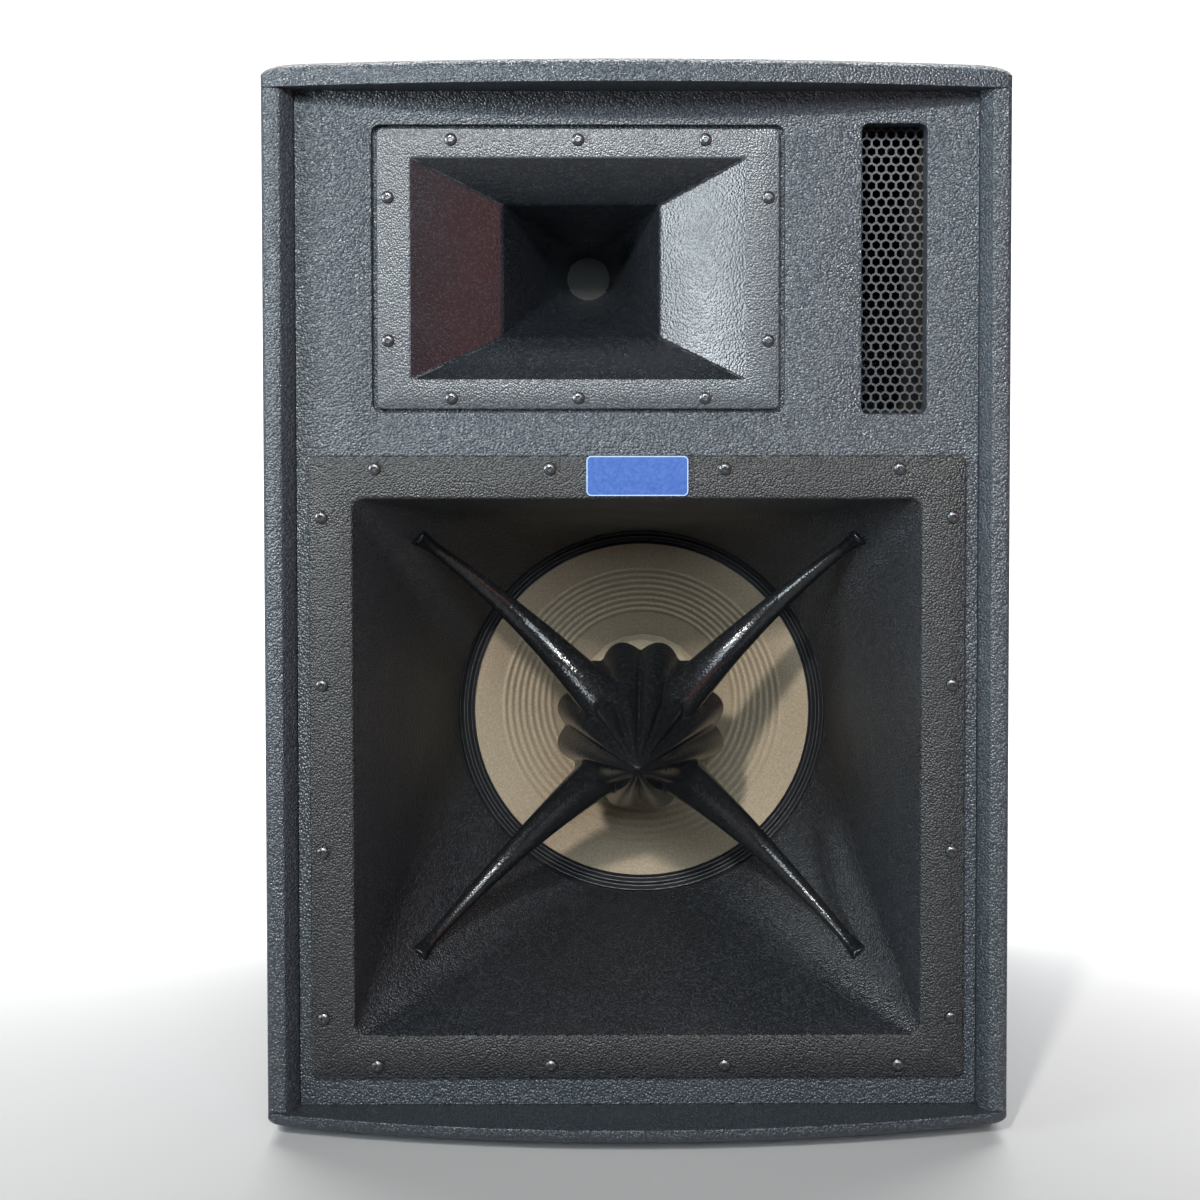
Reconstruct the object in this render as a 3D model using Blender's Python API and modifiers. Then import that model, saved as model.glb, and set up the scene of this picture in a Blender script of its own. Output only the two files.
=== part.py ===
"""Two-way PA speaker cabinet: a plywood box with a bowed front, a horn-loaded woofer behind a fluted
phase plug, a rectangular high-frequency horn and a perforated port. The front faces -Y."""
import math

import bmesh
import bpy
from mathutils import Matrix, Vector

# Driving dimensions, in metres

# Cabinet
CABINET_WIDTH = 0.460
CABINET_HEIGHT = 0.6575
SIDE_DEPTH = 0.4035
FRONT_BOW = 0.0265
LIP_DEPTH = 0.013
TOP_PANEL_THICKNESS = 0.0145
BOTTOM_PANEL_THICKNESS = 0.009
SIDE_PANEL_THICKNESS = 0.018
BAFFLE_THICKNESS = 0.018
REAR_PANEL_THICKNESS = 0.018
END_PANEL_CORNER_RADIUS = 0.005
TOP_ROUND_OVER = 0.0067
BOTTOM_ROUND_OVER = 0.006
ROUND_OVER_STEPS = 3
ROUND_PROFILE = 0.5
SIDE_CHAMFER_WIDTH = 0.0065
SIDE_CHAMFER_DEPTH = 0.010
SIDE_ROUND_OVER = 0.003
PANEL_GAP = 0.0003

# Feet
FOOT_HEIGHT = 0.008
FOOT_RADIUS = 0.019
FOOT_TAPER = 0.003
FOOT_INSET = 0.050

# Woofer horn
HORN_SIDE_MARGIN = 0.0082
HORN_BOTTOM_MARGIN = 0.0186
HORN_HF_GAP = 0.0267
HORN_FLANGE_RADIUS = 0.004
HORN_FLANGE_THICKNESS = 0.005
HORN_SIDE_BORDER = 0.02725
HORN_END_BORDER = 0.0268
HORN_MOUTH_RADIUS = 0.007
HORN_WALL = 0.005
HORN_THROAT_RADIUS = 0.132
HORN_DEPTH = 0.1765
HORN_COLLAR_WIDTH = 0.0255
HORN_COLLAR_THICKNESS = 0.008
HORN_OPENING_CLEARANCE = 0.002
HORN_SCREW_INSET = 0.008
HORN_SCREW_ROW_END = 0.0412
HORN_SCREW_COLUMN_END = 0.038
HORN_SCREWS_PER_EDGE = 4

# Phase plug
PLUG_RADIUS = 0.0595
PLUG_LENGTH = 0.131
PLUG_BACK_THICKNESS = 0.010
PLUG_BACK_RADIUS = 0.050
PLUG_LOBES = 12
PLUG_FLUTE_DEPTH = 0.0065
PLUG_NOSE_POWER = 0.8
PLUG_TIP_SETBACK = 0.001
PLUG_RING_SHARES = (0.03, 0.12, 0.27, 0.45, 0.64, 0.82, 0.95, 1.0)
ARM_ROOT_RADIUS = 0.017
ARM_BEND_RADIUS = 0.0068
ARM_END_RADIUS = 0.0032
ARM_ROOT_DEPTH = 0.085
ARM_BEND_DEPTH = 0.1445
ARM_END_DEPTH = 0.066
ARM_POINTS = 9
ARM_OVERRUN = 0.012

# Woofer driver
BASKET_RIM_INSET = 0.001
BASKET_RIM_THICKNESS = 0.008
BASKET_EDGE_WIDTH = 0.007
BASKET_SEAT_DEPTH = 0.0015
BASKET_THROAT_STEP = 0.0045
BASKET_WALL = 0.004
BASKET_DEPTH = 0.092
BASKET_FLOOR_RADIUS = 0.086
BASKET_FLOOR_THICKNESS = 0.005
BASKET_FLOOR_BORE = 0.047
BASKET_SPOKES = 6
BASKET_WINDOW_WIDTH = 0.062
BASKET_WINDOW_TOP = 0.016
BASKET_WINDOW_BOTTOM = 0.064
SURROUND_WIDTH = 0.0148
CONE_EDGE_SETBACK = 0.005
CONE_DEPTH = 0.056
CONE_THICKNESS = 0.0016
CONE_CURVE_POWER = 1.12
CONE_BAND_WIDTH = 0.0192
CONE_RIB_ZONE = 0.0365
CONE_RIBS = 8
CONE_RIB_HEIGHT = 0.0008
SURROUND_ROLLS = 3
SURROUND_ROLL_HEIGHT = 0.0022
SURROUND_THICKNESS = 0.0008
DUST_CAP_RADIUS = 0.048
DUST_CAP_HEIGHT = 0.014
DUST_CAP_THICKNESS = 0.0012
COIL_RADIUS = 0.0385
COIL_WALL = 0.0010
COIL_LENGTH = 0.052
COIL_NECK_OVERLAP = 0.004
SPIDER_DEPTH = 0.070
SPIDER_WAVES = 4
SPIDER_WAVE_HEIGHT = 0.0014
SPIDER_THICKNESS = 0.0008
AIR_GAP = 0.0012
TOP_PLATE_RADIUS = 0.080
TOP_PLATE_THICKNESS = 0.010
MAGNET_RADIUS = 0.088
MAGNET_BORE = 0.046
MAGNET_THICKNESS = 0.022
YOKE_RADIUS = 0.080
YOKE_THICKNESS = 0.010
YOKE_VENT_RADIUS = 0.012

# High-frequency horn and compression driver
HF_SIDE_MARGIN = 0.0474
HF_TOP_MARGIN = 0.0211
HF_FLANGE_RADIUS = 0.004
HF_FLANGE_THICKNESS = 0.005
HF_SIDE_BORDER = 0.0203
HF_END_BORDER = 0.0181
HF_RECESS_SIDE_GAP = 0.003
HF_RECESS_END_GAP = 0.0019
HF_RECESS_RADIUS = 0.006
HF_MOUTH_WIDTH = 0.2093
HF_MOUTH_HEIGHT = 0.1378
HF_MOUTH_RADIUS = 0.001
HF_WAIST_SHARE_X = 0.474
HF_WAIST_SHARE_Z = 0.604
HF_WAIST_DEPTH = 0.033
HF_THROAT_RADIUS = 0.0147
HF_DEPTH = 0.146
HF_WALL = 0.004
HF_COLLAR_RADIUS = 0.045
HF_COLLAR_THICKNESS = 0.006
HF_OPENING_CLEARANCE = 0.002
HF_SCREW_INSET = 0.0071
HF_SCREW_ROW_END = 0.0462
HF_SCREW_COLUMN_END = 0.0427
SCREEN_RADIUS = 0.020
SCREEN_THICKNESS = 0.001
HF_PLATE_RADIUS = 0.045
HF_PLATE_THICKNESS = 0.012
HF_POLE_RADIUS = 0.020
HF_BORE_FRONT_RADIUS = 0.0127
HF_BORE_REAR_RADIUS = 0.009
HF_MAGNET_RADIUS = 0.043
HF_MAGNET_BORE = 0.0235
HF_MAGNET_THICKNESS = 0.025
HF_TOP_PLATE_RADIUS = 0.041
HF_TOP_PLATE_THICKNESS = 0.008
HF_COIL_GAP = 0.0022
DIAPHRAGM_DOME_HEIGHT = 0.009
DIAPHRAGM_RIM_RADIUS = 0.030
DIAPHRAGM_THICKNESS = 0.0006
DIAPHRAGM_TRAVEL = 0.0004
DIAPHRAGM_COIL_LENGTH = 0.005
HF_COVER_RADIUS = 0.043
HF_COVER_BORE = 0.036
HF_COVER_DEPTH = 0.020
HF_COVER_THICKNESS = 0.004

# Port
PORT_SIDE_MARGIN = 0.0526
PORT_WIDTH = 0.0405
PORT_END_RISE = 0.0011
PORT_RADIUS = 0.0045
GRILLE_MARGIN = 0.0075
GRILLE_THICKNESS = 0.0012
GRILLE_PITCH = 0.0062
GRILLE_HOLE_WIDTH = 0.0047
DUCT_WALL = 0.006
DUCT_LENGTH = 0.110

# Screws
SCREW_HEAD_RADIUS = 0.0039
SCREW_HEAD_HEIGHT = 0.0022
SCREW_CROWN_RADIUS = 0.0024
SCREW_CROWN_DROP = 0.0004
SCREW_SHANK_RADIUS = 0.0020
SCREW_LENGTH = 0.018
SCREW_CLEARANCE = 0.0004

# Badge plate
BADGE_WIDTH = 0.063
BADGE_HEIGHT = 0.0248
BADGE_RADIUS = 0.003
BADGE_THICKNESS = 0.0015

# Rear connector cup and crossover
CUP_BOTTOM_MARGIN = 0.010
CUP_FLANGE_SIZE = 0.110
CUP_FLANGE_RADIUS = 0.006
CUP_FLANGE_THICKNESS = 0.003
CUP_MOUTH_SIZE = 0.086
CUP_FLOOR_SIZE = 0.070
CUP_CORNER_RADIUS = 0.010
CUP_DEPTH = 0.034
CUP_WALL = 0.003
CUP_CLEARANCE = 0.0005
SOCKET_FLANGE_RADIUS = 0.0165
SOCKET_FLANGE_THICKNESS = 0.002
SOCKET_BARREL_RADIUS = 0.012
SOCKET_BARREL_LENGTH = 0.018
SOCKET_BORE_RADIUS = 0.0088
SOCKET_BORE_DEPTH = 0.015
SOCKET_POST_RADIUS = 0.0045
SOCKET_POST_SETBACK = 0.002
BOARD_SIDE_MARGIN = 0.077
BOARD_TOP_MARGIN = 0.093
BOARD_WIDTH = 0.150
BOARD_HEIGHT = 0.100
BOARD_THICKNESS = 0.002
BOARD_POST_HEIGHT = 0.008
BOARD_POST_RADIUS = 0.004
BOARD_POST_INSET = 0.010
CHOKE_RADIUS = 0.026
CHOKE_BORE = 0.010
CHOKE_HEIGHT = 0.024
CAPACITOR_RADIUS = 0.011
CAPACITOR_LENGTH = 0.042
CAPACITOR_SINK = 0.0011

# Fits and facets
SEAT_GAP = 0.0003
WELD_DISTANCE = 0.000001
FINE_SEGMENTS = 28
ROUND_SEGMENTS = 20
SMALL_SEGMENTS = 14
SCREW_SEGMENTS = 6
CORNER_POINTS = 8
SMALL_CORNER_POINTS = 4
BOW_POINTS = 12
FLUTE_POINTS = 4
DOME_STEPS = 4

# Places worked out from the dimensions above; the depth is centred on the origin
CABINET_DEPTH = SIDE_DEPTH + FRONT_BOW
BOW_FRONT_Y = -CABINET_DEPTH / 2
SIDE_FRONT_Y = BOW_FRONT_Y + FRONT_BOW
REAR_Y = CABINET_DEPTH / 2
BAFFLE_FRONT_Y = SIDE_FRONT_Y + LIP_DEPTH
BAFFLE_REAR_Y = BAFFLE_FRONT_Y + BAFFLE_THICKNESS
REAR_INNER_Y = REAR_Y - REAR_PANEL_THICKNESS
BASE_Z = FOOT_HEIGHT + PANEL_GAP
INNER_BOTTOM_Z = BASE_Z + BOTTOM_PANEL_THICKNESS
TOP_Z = BASE_Z + CABINET_HEIGHT
INNER_TOP_Z = TOP_Z - TOP_PANEL_THICKNESS
INNER_HALF_WIDTH = CABINET_WIDTH / 2 - SIDE_PANEL_THICKNESS

# The small horn hangs from the top margin, and the woofer horn fills what is left below it
HF_FLANGE_WIDTH = HF_MOUTH_WIDTH + 2 * HF_SIDE_BORDER
HF_FLANGE_HEIGHT = HF_MOUTH_HEIGHT + 2 * HF_END_BORDER
HF_RECESS_WIDTH = HF_FLANGE_WIDTH + 2 * HF_RECESS_SIDE_GAP
HF_RECESS_HEIGHT = HF_FLANGE_HEIGHT + 2 * HF_RECESS_END_GAP
HF_WAIST_WIDTH = HF_MOUTH_WIDTH * HF_WAIST_SHARE_X
HF_WAIST_HEIGHT = HF_MOUTH_HEIGHT * HF_WAIST_SHARE_Z
HF_CENTRE_X = HF_SIDE_MARGIN + HF_RECESS_WIDTH / 2 - INNER_HALF_WIDTH
HF_Z = INNER_TOP_Z - HF_TOP_MARGIN - HF_RECESS_HEIGHT / 2
HORN_FLANGE_WIDTH = 2 * (INNER_HALF_WIDTH - HORN_SIDE_MARGIN)
HORN_FLANGE_LOW = INNER_BOTTOM_Z + HORN_BOTTOM_MARGIN
HORN_FLANGE_HIGH = HF_Z - HF_RECESS_HEIGHT / 2 - HORN_HF_GAP
HORN_FLANGE_HEIGHT = HORN_FLANGE_HIGH - HORN_FLANGE_LOW
HORN_MOUTH_WIDTH = HORN_FLANGE_WIDTH - 2 * HORN_SIDE_BORDER
HORN_MOUTH_HEIGHT = HORN_FLANGE_HEIGHT - 2 * HORN_END_BORDER
WOOFER_Z = (HORN_FLANGE_LOW + HORN_FLANGE_HIGH) / 2
HORN_COLLAR_RADIUS = HORN_THROAT_RADIUS + HORN_COLLAR_WIDTH
BASKET_RADIUS = HORN_COLLAR_RADIUS - BASKET_RIM_INSET
BASKET_SEAT_RADIUS = BASKET_RADIUS - BASKET_EDGE_WIDTH
BASKET_INNER_RADIUS = HORN_THROAT_RADIUS + BASKET_THROAT_STEP
CONE_EDGE_RADIUS = BASKET_INNER_RADIUS - SURROUND_WIDTH
CONE_RIB_OUTER_RADIUS = CONE_EDGE_RADIUS - CONE_BAND_WIDTH
CONE_RIB_INNER_RADIUS = CONE_RIB_OUTER_RADIUS - CONE_RIB_ZONE
PORT_CENTRE_X = INNER_HALF_WIDTH - PORT_SIDE_MARGIN
PORT_HEIGHT = HF_RECESS_HEIGHT + 2 * PORT_END_RISE
CUP_Z = INNER_BOTTOM_Z + CUP_BOTTOM_MARGIN + CUP_FLANGE_SIZE / 2
BOARD_CENTRE_X = INNER_HALF_WIDTH - BOARD_SIDE_MARGIN - BOARD_WIDTH / 2
BOARD_Z = INNER_TOP_Z - BOARD_TOP_MARGIN - BOARD_HEIGHT / 2
HORN_FLANGE_FRONT = SEAT_GAP + HORN_FLANGE_THICKNESS
HORN_THROAT_START = HORN_COLLAR_THICKNESS - HORN_DEPTH
GRILLE_FRONT_Y = BAFFLE_REAR_Y + SEAT_GAP
DUCT_FRONT_Y = GRILLE_FRONT_Y + GRILLE_THICKNESS + SEAT_GAP

FACE_FRONT = (math.pi / 2, 0.0, 0.0)
FACE_REAR = (-math.pi / 2, 0.0, 0.0)
CORNERS = ((1, 1), (-1, 1), (-1, -1), (1, -1))


# Scene set-up
for leftover in list(bpy.data.objects):
    bpy.data.objects.remove(leftover, do_unlink=True)

PARTS = bpy.data.collections.new("pa_speaker_cabinet")
CUTTERS = bpy.data.collections.new("cutters")
bpy.context.scene.collection.children.link(PARTS)
bpy.context.scene.collection.children.link(CUTTERS)


def make_material(name, colour, roughness, metallic=0.0):
    material = bpy.data.materials.new(name)
    material.use_nodes = True
    shader = material.node_tree.nodes["Principled BSDF"]
    shader.inputs["Base Color"].default_value = (*colour, 1.0)
    shader.inputs["Roughness"].default_value = roughness
    shader.inputs["Metallic"].default_value = metallic
    return material


CABINET_PAINT = make_material("textured_cabinet_paint", (0.035, 0.038, 0.043), 0.55)
HORN_MOULDING = make_material("horn_moulding", (0.020, 0.021, 0.023), 0.45)
PLUG_MOULDING = make_material("plug_moulding", (0.010, 0.010, 0.011), 0.30)
BLACK_STEEL = make_material("black_steel", (0.015, 0.015, 0.016), 0.35, 0.6)
CONE_PAPER = make_material("cone_paper", (0.42, 0.35, 0.25), 0.85)
SURROUND_CLOTH = make_material("surround_cloth", (0.012, 0.012, 0.013), 0.70)
SPIDER_CLOTH = make_material("spider_cloth", (0.35, 0.20, 0.08), 0.90)
CAST_FRAME = make_material("cast_frame", (0.030, 0.030, 0.032), 0.50, 0.8)
FERRITE = make_material("ferrite", (0.060, 0.058, 0.056), 0.75)
PLATED_STEEL = make_material("plated_steel", (0.55, 0.54, 0.50), 0.35, 1.0)
COPPER_COIL = make_material("copper_coil", (0.55, 0.25, 0.12), 0.40, 0.8)
SCREEN_MESH = make_material("screen_mesh", (0.10, 0.095, 0.09), 0.60, 0.5)
DOME_METAL = make_material("dome_metal", (0.50, 0.50, 0.52), 0.30, 1.0)
DUCT_BOARD = make_material("duct_board", (0.020, 0.020, 0.021), 0.80)
BADGE_BLUE = make_material("badge_blue", (0.080, 0.180, 0.530), 0.40)
FOOT_RUBBER = make_material("foot_rubber", (0.018, 0.018, 0.018), 0.90)
CUP_PLASTIC = make_material("cup_plastic", (0.020, 0.020, 0.020), 0.50)
BOARD_RESIN = make_material("board_resin", (0.05, 0.11, 0.05), 0.60)


# Modelling helpers

def make_frame(name, location, rotation, parent=None):
    """An empty that holds one assembly; its local Z points out of the face that it is mounted on."""
    frame = bpy.data.objects.new(name, None)
    frame.location = location
    frame.rotation_euler = rotation
    frame.parent = parent
    PARTS.objects.link(frame)
    return frame


def place(obj, parent, location=(0.0, 0.0, 0.0)):
    obj.parent = parent
    obj.location = location
    return obj


def finish_piece(name, mesh, material=None, smooth_angle=40.0):
    """Wrap a mesh as a named piece, or as a hidden cutter where it has no material."""
    obj = bpy.data.objects.new(name, mesh)
    if material is None:
        CUTTERS.objects.link(obj)
        obj.hide_render = True
        obj.display_type = "WIRE"
        return obj
    PARTS.objects.link(obj)
    mesh.materials.append(material)
    mesh.shade_smooth()
    mesh.set_sharp_from_angle(angle=math.radians(smooth_angle))
    return obj


def mesh_from_bmesh(name, bm):
    bmesh.ops.remove_doubles(bm, verts=bm.verts, dist=WELD_DISTANCE)
    bmesh.ops.recalc_face_normals(bm, faces=bm.faces)
    mesh = bpy.data.meshes.new(name)
    bm.to_mesh(mesh)
    bm.free()
    return mesh


def rounded_rectangle(width, height, radius, points, centre=(0.0, 0.0)):
    """Corner arcs of a rounded rectangle; equal sides and a half-side radius make a circle."""
    outline = []
    for corner, (side_x, side_y) in enumerate(CORNERS):
        arc_x = centre[0] + side_x * (width / 2 - radius)
        arc_y = centre[1] + side_y * (height / 2 - radius)
        for step in range(points):
            angle = math.pi / 2 * (corner + step / (points - 1))
            outline.append((arc_x + radius * math.cos(angle), arc_y + radius * math.sin(angle)))
    return outline


def polygon(radius, sides, centre, start=0.0):
    turns = [start + 2 * math.pi * step / sides for step in range(sides)]
    return [(centre[0] + radius * math.cos(turn), centre[1] + radius * math.sin(turn)) for turn in turns]


def plate_mesh(name, outlines, thickness):
    """A flat plate from its outline and its holes, centred on its own mid-plane."""
    curve = bpy.data.curves.new(name, "CURVE")
    curve.dimensions = "2D"
    curve.fill_mode = "BOTH"
    curve.extrude = thickness / 2
    for outline in outlines:
        spline = curve.splines.new("POLY")
        spline.points.add(len(outline) - 1)
        for point, (x, y) in zip(spline.points, outline):
            point.co = (x, y, 0.0, 1.0)
        spline.use_cyclic_u = True
    return mesh_from_curve(name, curve)


def mesh_from_curve(name, curve):
    guide = bpy.data.objects.new(name + "_guide", curve)
    bpy.context.scene.collection.objects.link(guide)
    evaluated = guide.evaluated_get(bpy.context.evaluated_depsgraph_get())
    mesh = bpy.data.meshes.new_from_object(evaluated)
    bm = bmesh.new()
    bm.from_mesh(mesh)
    bpy.data.objects.remove(guide, do_unlink=True)
    bpy.data.meshes.remove(mesh)
    return mesh_from_bmesh(name, bm)


def turned_piece(name, profile, material, segments=ROUND_SEGMENTS, ring=True):
    """A turned piece from its (radius, height) profile, which runs down the outer side first."""
    mesh = bpy.data.meshes.new(name)
    points = [(radius, 0.0, height) for radius, height in profile]
    edges = [(index, index + 1) for index in range(len(points) - 1)]
    if ring:
        edges.append((len(points) - 1, 0))
    mesh.from_pydata(points, edges, [])
    obj = finish_piece(name, mesh, material)
    lathe = obj.modifiers.new("turned", "SCREW")
    lathe.axis = "Z"
    lathe.angle = 2 * math.pi
    lathe.steps = segments
    lathe.render_steps = segments
    lathe.use_merge_vertices = True
    lathe.merge_threshold = WELD_DISTANCE
    lathe.use_smooth_shade = True
    return obj


def lofted_mesh(name, sections, points, closed):
    """Skin a row of rounded-rectangle sections (width, height, radius, place along Z)."""
    bm = bmesh.new()
    rings = []
    for width, height, radius, level in sections:
        outline = rounded_rectangle(width, height, radius, points)
        rings.append([bm.verts.new((x, y, level)) for x, y in outline])
    pairs = list(zip(rings, rings[1:]))
    if closed:
        pairs.append((rings[-1], rings[0]))
    for lower, upper in pairs:
        for index in range(len(lower)):
            after = (index + 1) % len(lower)
            bm.faces.new((lower[index], lower[after], upper[after], upper[index]))
    if not closed:
        bm.faces.new(rings[0])
        bm.faces.new(rings[-1])
    return mesh_from_bmesh(name, bm)


def circle_section(radius, level):
    return (2 * radius, 2 * radius, radius, level)


def add_boolean(obj, tool, operation="DIFFERENCE"):
    modifier = obj.modifiers.new(operation.lower(), "BOOLEAN")
    modifier.operation = operation
    modifier.solver = "EXACT"
    modifier.object = tool
    return obj


def cylinder_cutter(name, places, radius, height, segments):
    """One cutter of several upright cylinders, each centred on its place."""
    bm = bmesh.new()
    for centre in places:
        spot = Matrix.Translation(Vector(centre))
        bmesh.ops.create_cone(bm, cap_ends=True, segments=segments, radius1=radius, radius2=radius,
                              depth=height, matrix=spot)
    mesh = bpy.data.meshes.new(name)
    bm.to_mesh(mesh)
    bm.free()
    return finish_piece(name, mesh)


def box_mesh(name, size):
    bm = bmesh.new()
    bmesh.ops.create_cube(bm, size=1.0, matrix=Matrix.Diagonal((*size, 1.0)))
    return mesh_from_bmesh(name, bm)


# Cabinet panels

def end_panel_outline():
    """Plan of the top and bottom panels: straight back and sides, and a front that bows out."""
    half_width = CABINET_WIDTH / 2
    bow_radius = (half_width ** 2 + FRONT_BOW ** 2) / (2 * FRONT_BOW)
    bow_centre_y = BOW_FRONT_Y + bow_radius
    reach = half_width - END_PANEL_CORNER_RADIUS
    corner_y = bow_centre_y - math.sqrt(bow_radius ** 2 - reach ** 2)
    outline = [(half_width, REAR_Y), (-half_width, REAR_Y)]
    for step in range(SMALL_CORNER_POINTS):
        angle = math.pi + math.pi / 2 * step / SMALL_CORNER_POINTS
        x = -reach + END_PANEL_CORNER_RADIUS * math.cos(angle)
        outline.append((x, corner_y + END_PANEL_CORNER_RADIUS * (1 + math.sin(angle))))
    for step in range(BOW_POINTS + 1):
        x = -reach + 2 * reach * step / BOW_POINTS
        outline.append((x, bow_centre_y - math.sqrt(bow_radius ** 2 - x ** 2)))
    for step in range(1, SMALL_CORNER_POINTS + 1):
        angle = 1.5 * math.pi + math.pi / 2 * step / SMALL_CORNER_POINTS
        x = reach + END_PANEL_CORNER_RADIUS * math.cos(angle)
        outline.append((x, corner_y + END_PANEL_CORNER_RADIUS * (1 + math.sin(angle))))
    return outline


def make_end_panel(name, low_z, thickness, outer_side, round_over):
    """Top (outer_side 1) or bottom (-1) panel with its outer edge rounded over."""
    mesh = plate_mesh(name, [end_panel_outline()], thickness)
    bm = bmesh.new()
    bm.from_mesh(mesh)
    bmesh.ops.dissolve_limit(bm, angle_limit=0.001, verts=bm.verts, edges=bm.edges)
    level = outer_side * thickness / 2
    rim = [edge for edge in bm.edges
           if all(abs(vert.co.z - level) < WELD_DISTANCE for vert in edge.verts)]
    bmesh.ops.bevel(bm, geom=rim, offset=round_over, offset_type="OFFSET", segments=ROUND_OVER_STEPS,
                    profile=ROUND_PROFILE, affect="EDGES", clamp_overlap=True)
    bpy.data.meshes.remove(mesh)
    obj = finish_piece(name, mesh_from_bmesh(name, bm), CABINET_PAINT)
    obj.location.z = low_z + thickness / 2
    return obj


def make_side_panel(name, side):
    """Side panel from its plan: outer edge eased, inner front edge chamfered toward the baffle."""
    outer = CABINET_WIDTH / 2
    inner = INNER_HALF_WIDTH
    outline = [(inner, REAR_Y), (inner, SIDE_FRONT_Y + SIDE_CHAMFER_DEPTH),
               (inner + SIDE_CHAMFER_WIDTH, SIDE_FRONT_Y)]
    for step in range(SMALL_CORNER_POINTS):
        angle = 1.5 * math.pi + math.pi / 2 * step / (SMALL_CORNER_POINTS - 1)
        x = outer - SIDE_ROUND_OVER + SIDE_ROUND_OVER * math.cos(angle)
        outline.append((x, SIDE_FRONT_Y + SIDE_ROUND_OVER * (1 + math.sin(angle))))
    outline.append((outer, REAR_Y))
    height = INNER_TOP_Z - INNER_BOTTOM_Z - 2 * PANEL_GAP
    outline = [(side * x, y) for x, y in outline]
    obj = finish_piece(name, plate_mesh(name, [outline], height), CABINET_PAINT)
    obj.location.z = (INNER_TOP_Z + INNER_BOTTOM_Z) / 2
    return obj


def inner_panel_outline():
    """The face that closes the box between the side, top and bottom panels, seen from the front."""
    width = 2 * (INNER_HALF_WIDTH - PANEL_GAP)
    low = INNER_BOTTOM_Z + PANEL_GAP
    high = INNER_TOP_Z - PANEL_GAP
    return rounded_rectangle(width, high - low, 0.0, 2, (0.0, (high + low) / 2))[::2]


def woofer_screw_places():
    """Four screws along each edge of the woofer horn's flange, about its centre."""
    row = HORN_FLANGE_HEIGHT / 2 - HORN_SCREW_INSET
    column = HORN_FLANGE_WIDTH / 2 - HORN_SCREW_INSET
    row_reach = HORN_FLANGE_WIDTH / 2 - HORN_SCREW_ROW_END
    column_reach = HORN_FLANGE_HEIGHT / 2 - HORN_SCREW_COLUMN_END
    steps = [2 * step / (HORN_SCREWS_PER_EDGE - 1) - 1 for step in range(HORN_SCREWS_PER_EDGE)]
    places = [(step * row_reach, side * row) for side in (1, -1) for step in steps]
    places += [(side * column, step * column_reach) for side in (1, -1) for step in steps]
    return places


def hf_screw_places():
    """Three screws along the top and bottom of the small horn's flange, and two along each side."""
    row = HF_FLANGE_HEIGHT / 2 - HF_SCREW_INSET
    column = HF_FLANGE_WIDTH / 2 - HF_SCREW_INSET
    row_reach = HF_FLANGE_WIDTH / 2 - HF_SCREW_ROW_END
    column_reach = HF_FLANGE_HEIGHT / 2 - HF_SCREW_COLUMN_END
    places = [(step * row_reach, side * row) for side in (1, -1) for step in (-1, 0, 1)]
    places += [(side * column, step * column_reach) for side in (1, -1) for step in (-1, 1)]
    return places


def make_front_baffle():
    """Baffle with the openings of both horns and the port, and a recess for the small horn's flange."""
    outlines = [inner_panel_outline()]
    margin = 2 * (HORN_WALL + HORN_OPENING_CLEARANCE)
    outlines.append(rounded_rectangle(HORN_MOUTH_WIDTH + margin, HORN_MOUTH_HEIGHT + margin,
                                      HORN_MOUTH_RADIUS, SMALL_CORNER_POINTS, (0.0, WOOFER_Z)))
    margin = 2 * (HF_WALL + HF_OPENING_CLEARANCE)
    outlines.append(rounded_rectangle(HF_MOUTH_WIDTH + margin, HF_MOUTH_HEIGHT + margin,
                                      HF_RECESS_RADIUS, SMALL_CORNER_POINTS, (HF_CENTRE_X, HF_Z)))
    outlines.append(rounded_rectangle(PORT_WIDTH, PORT_HEIGHT, PORT_RADIUS, SMALL_CORNER_POINTS,
                                      (PORT_CENTRE_X, HF_Z)))
    baffle = finish_piece("front_baffle", plate_mesh("front_baffle", outlines, BAFFLE_THICKNESS),
                          CABINET_PAINT)
    baffle.rotation_euler = FACE_FRONT
    baffle.location.y = BAFFLE_FRONT_Y + BAFFLE_THICKNESS / 2
    recess_depth = HF_FLANGE_THICKNESS + SEAT_GAP
    recess = rounded_rectangle(HF_RECESS_WIDTH, HF_RECESS_HEIGHT, HF_RECESS_RADIUS, SMALL_CORNER_POINTS)
    cutter = finish_piece("hf_recess_cutter", plate_mesh("hf_recess_cutter", [recess], 2 * recess_depth))
    cutter.rotation_euler = FACE_FRONT
    cutter.location = (HF_CENTRE_X, BAFFLE_FRONT_Y, HF_Z)
    return add_boolean(baffle, cutter)


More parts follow.
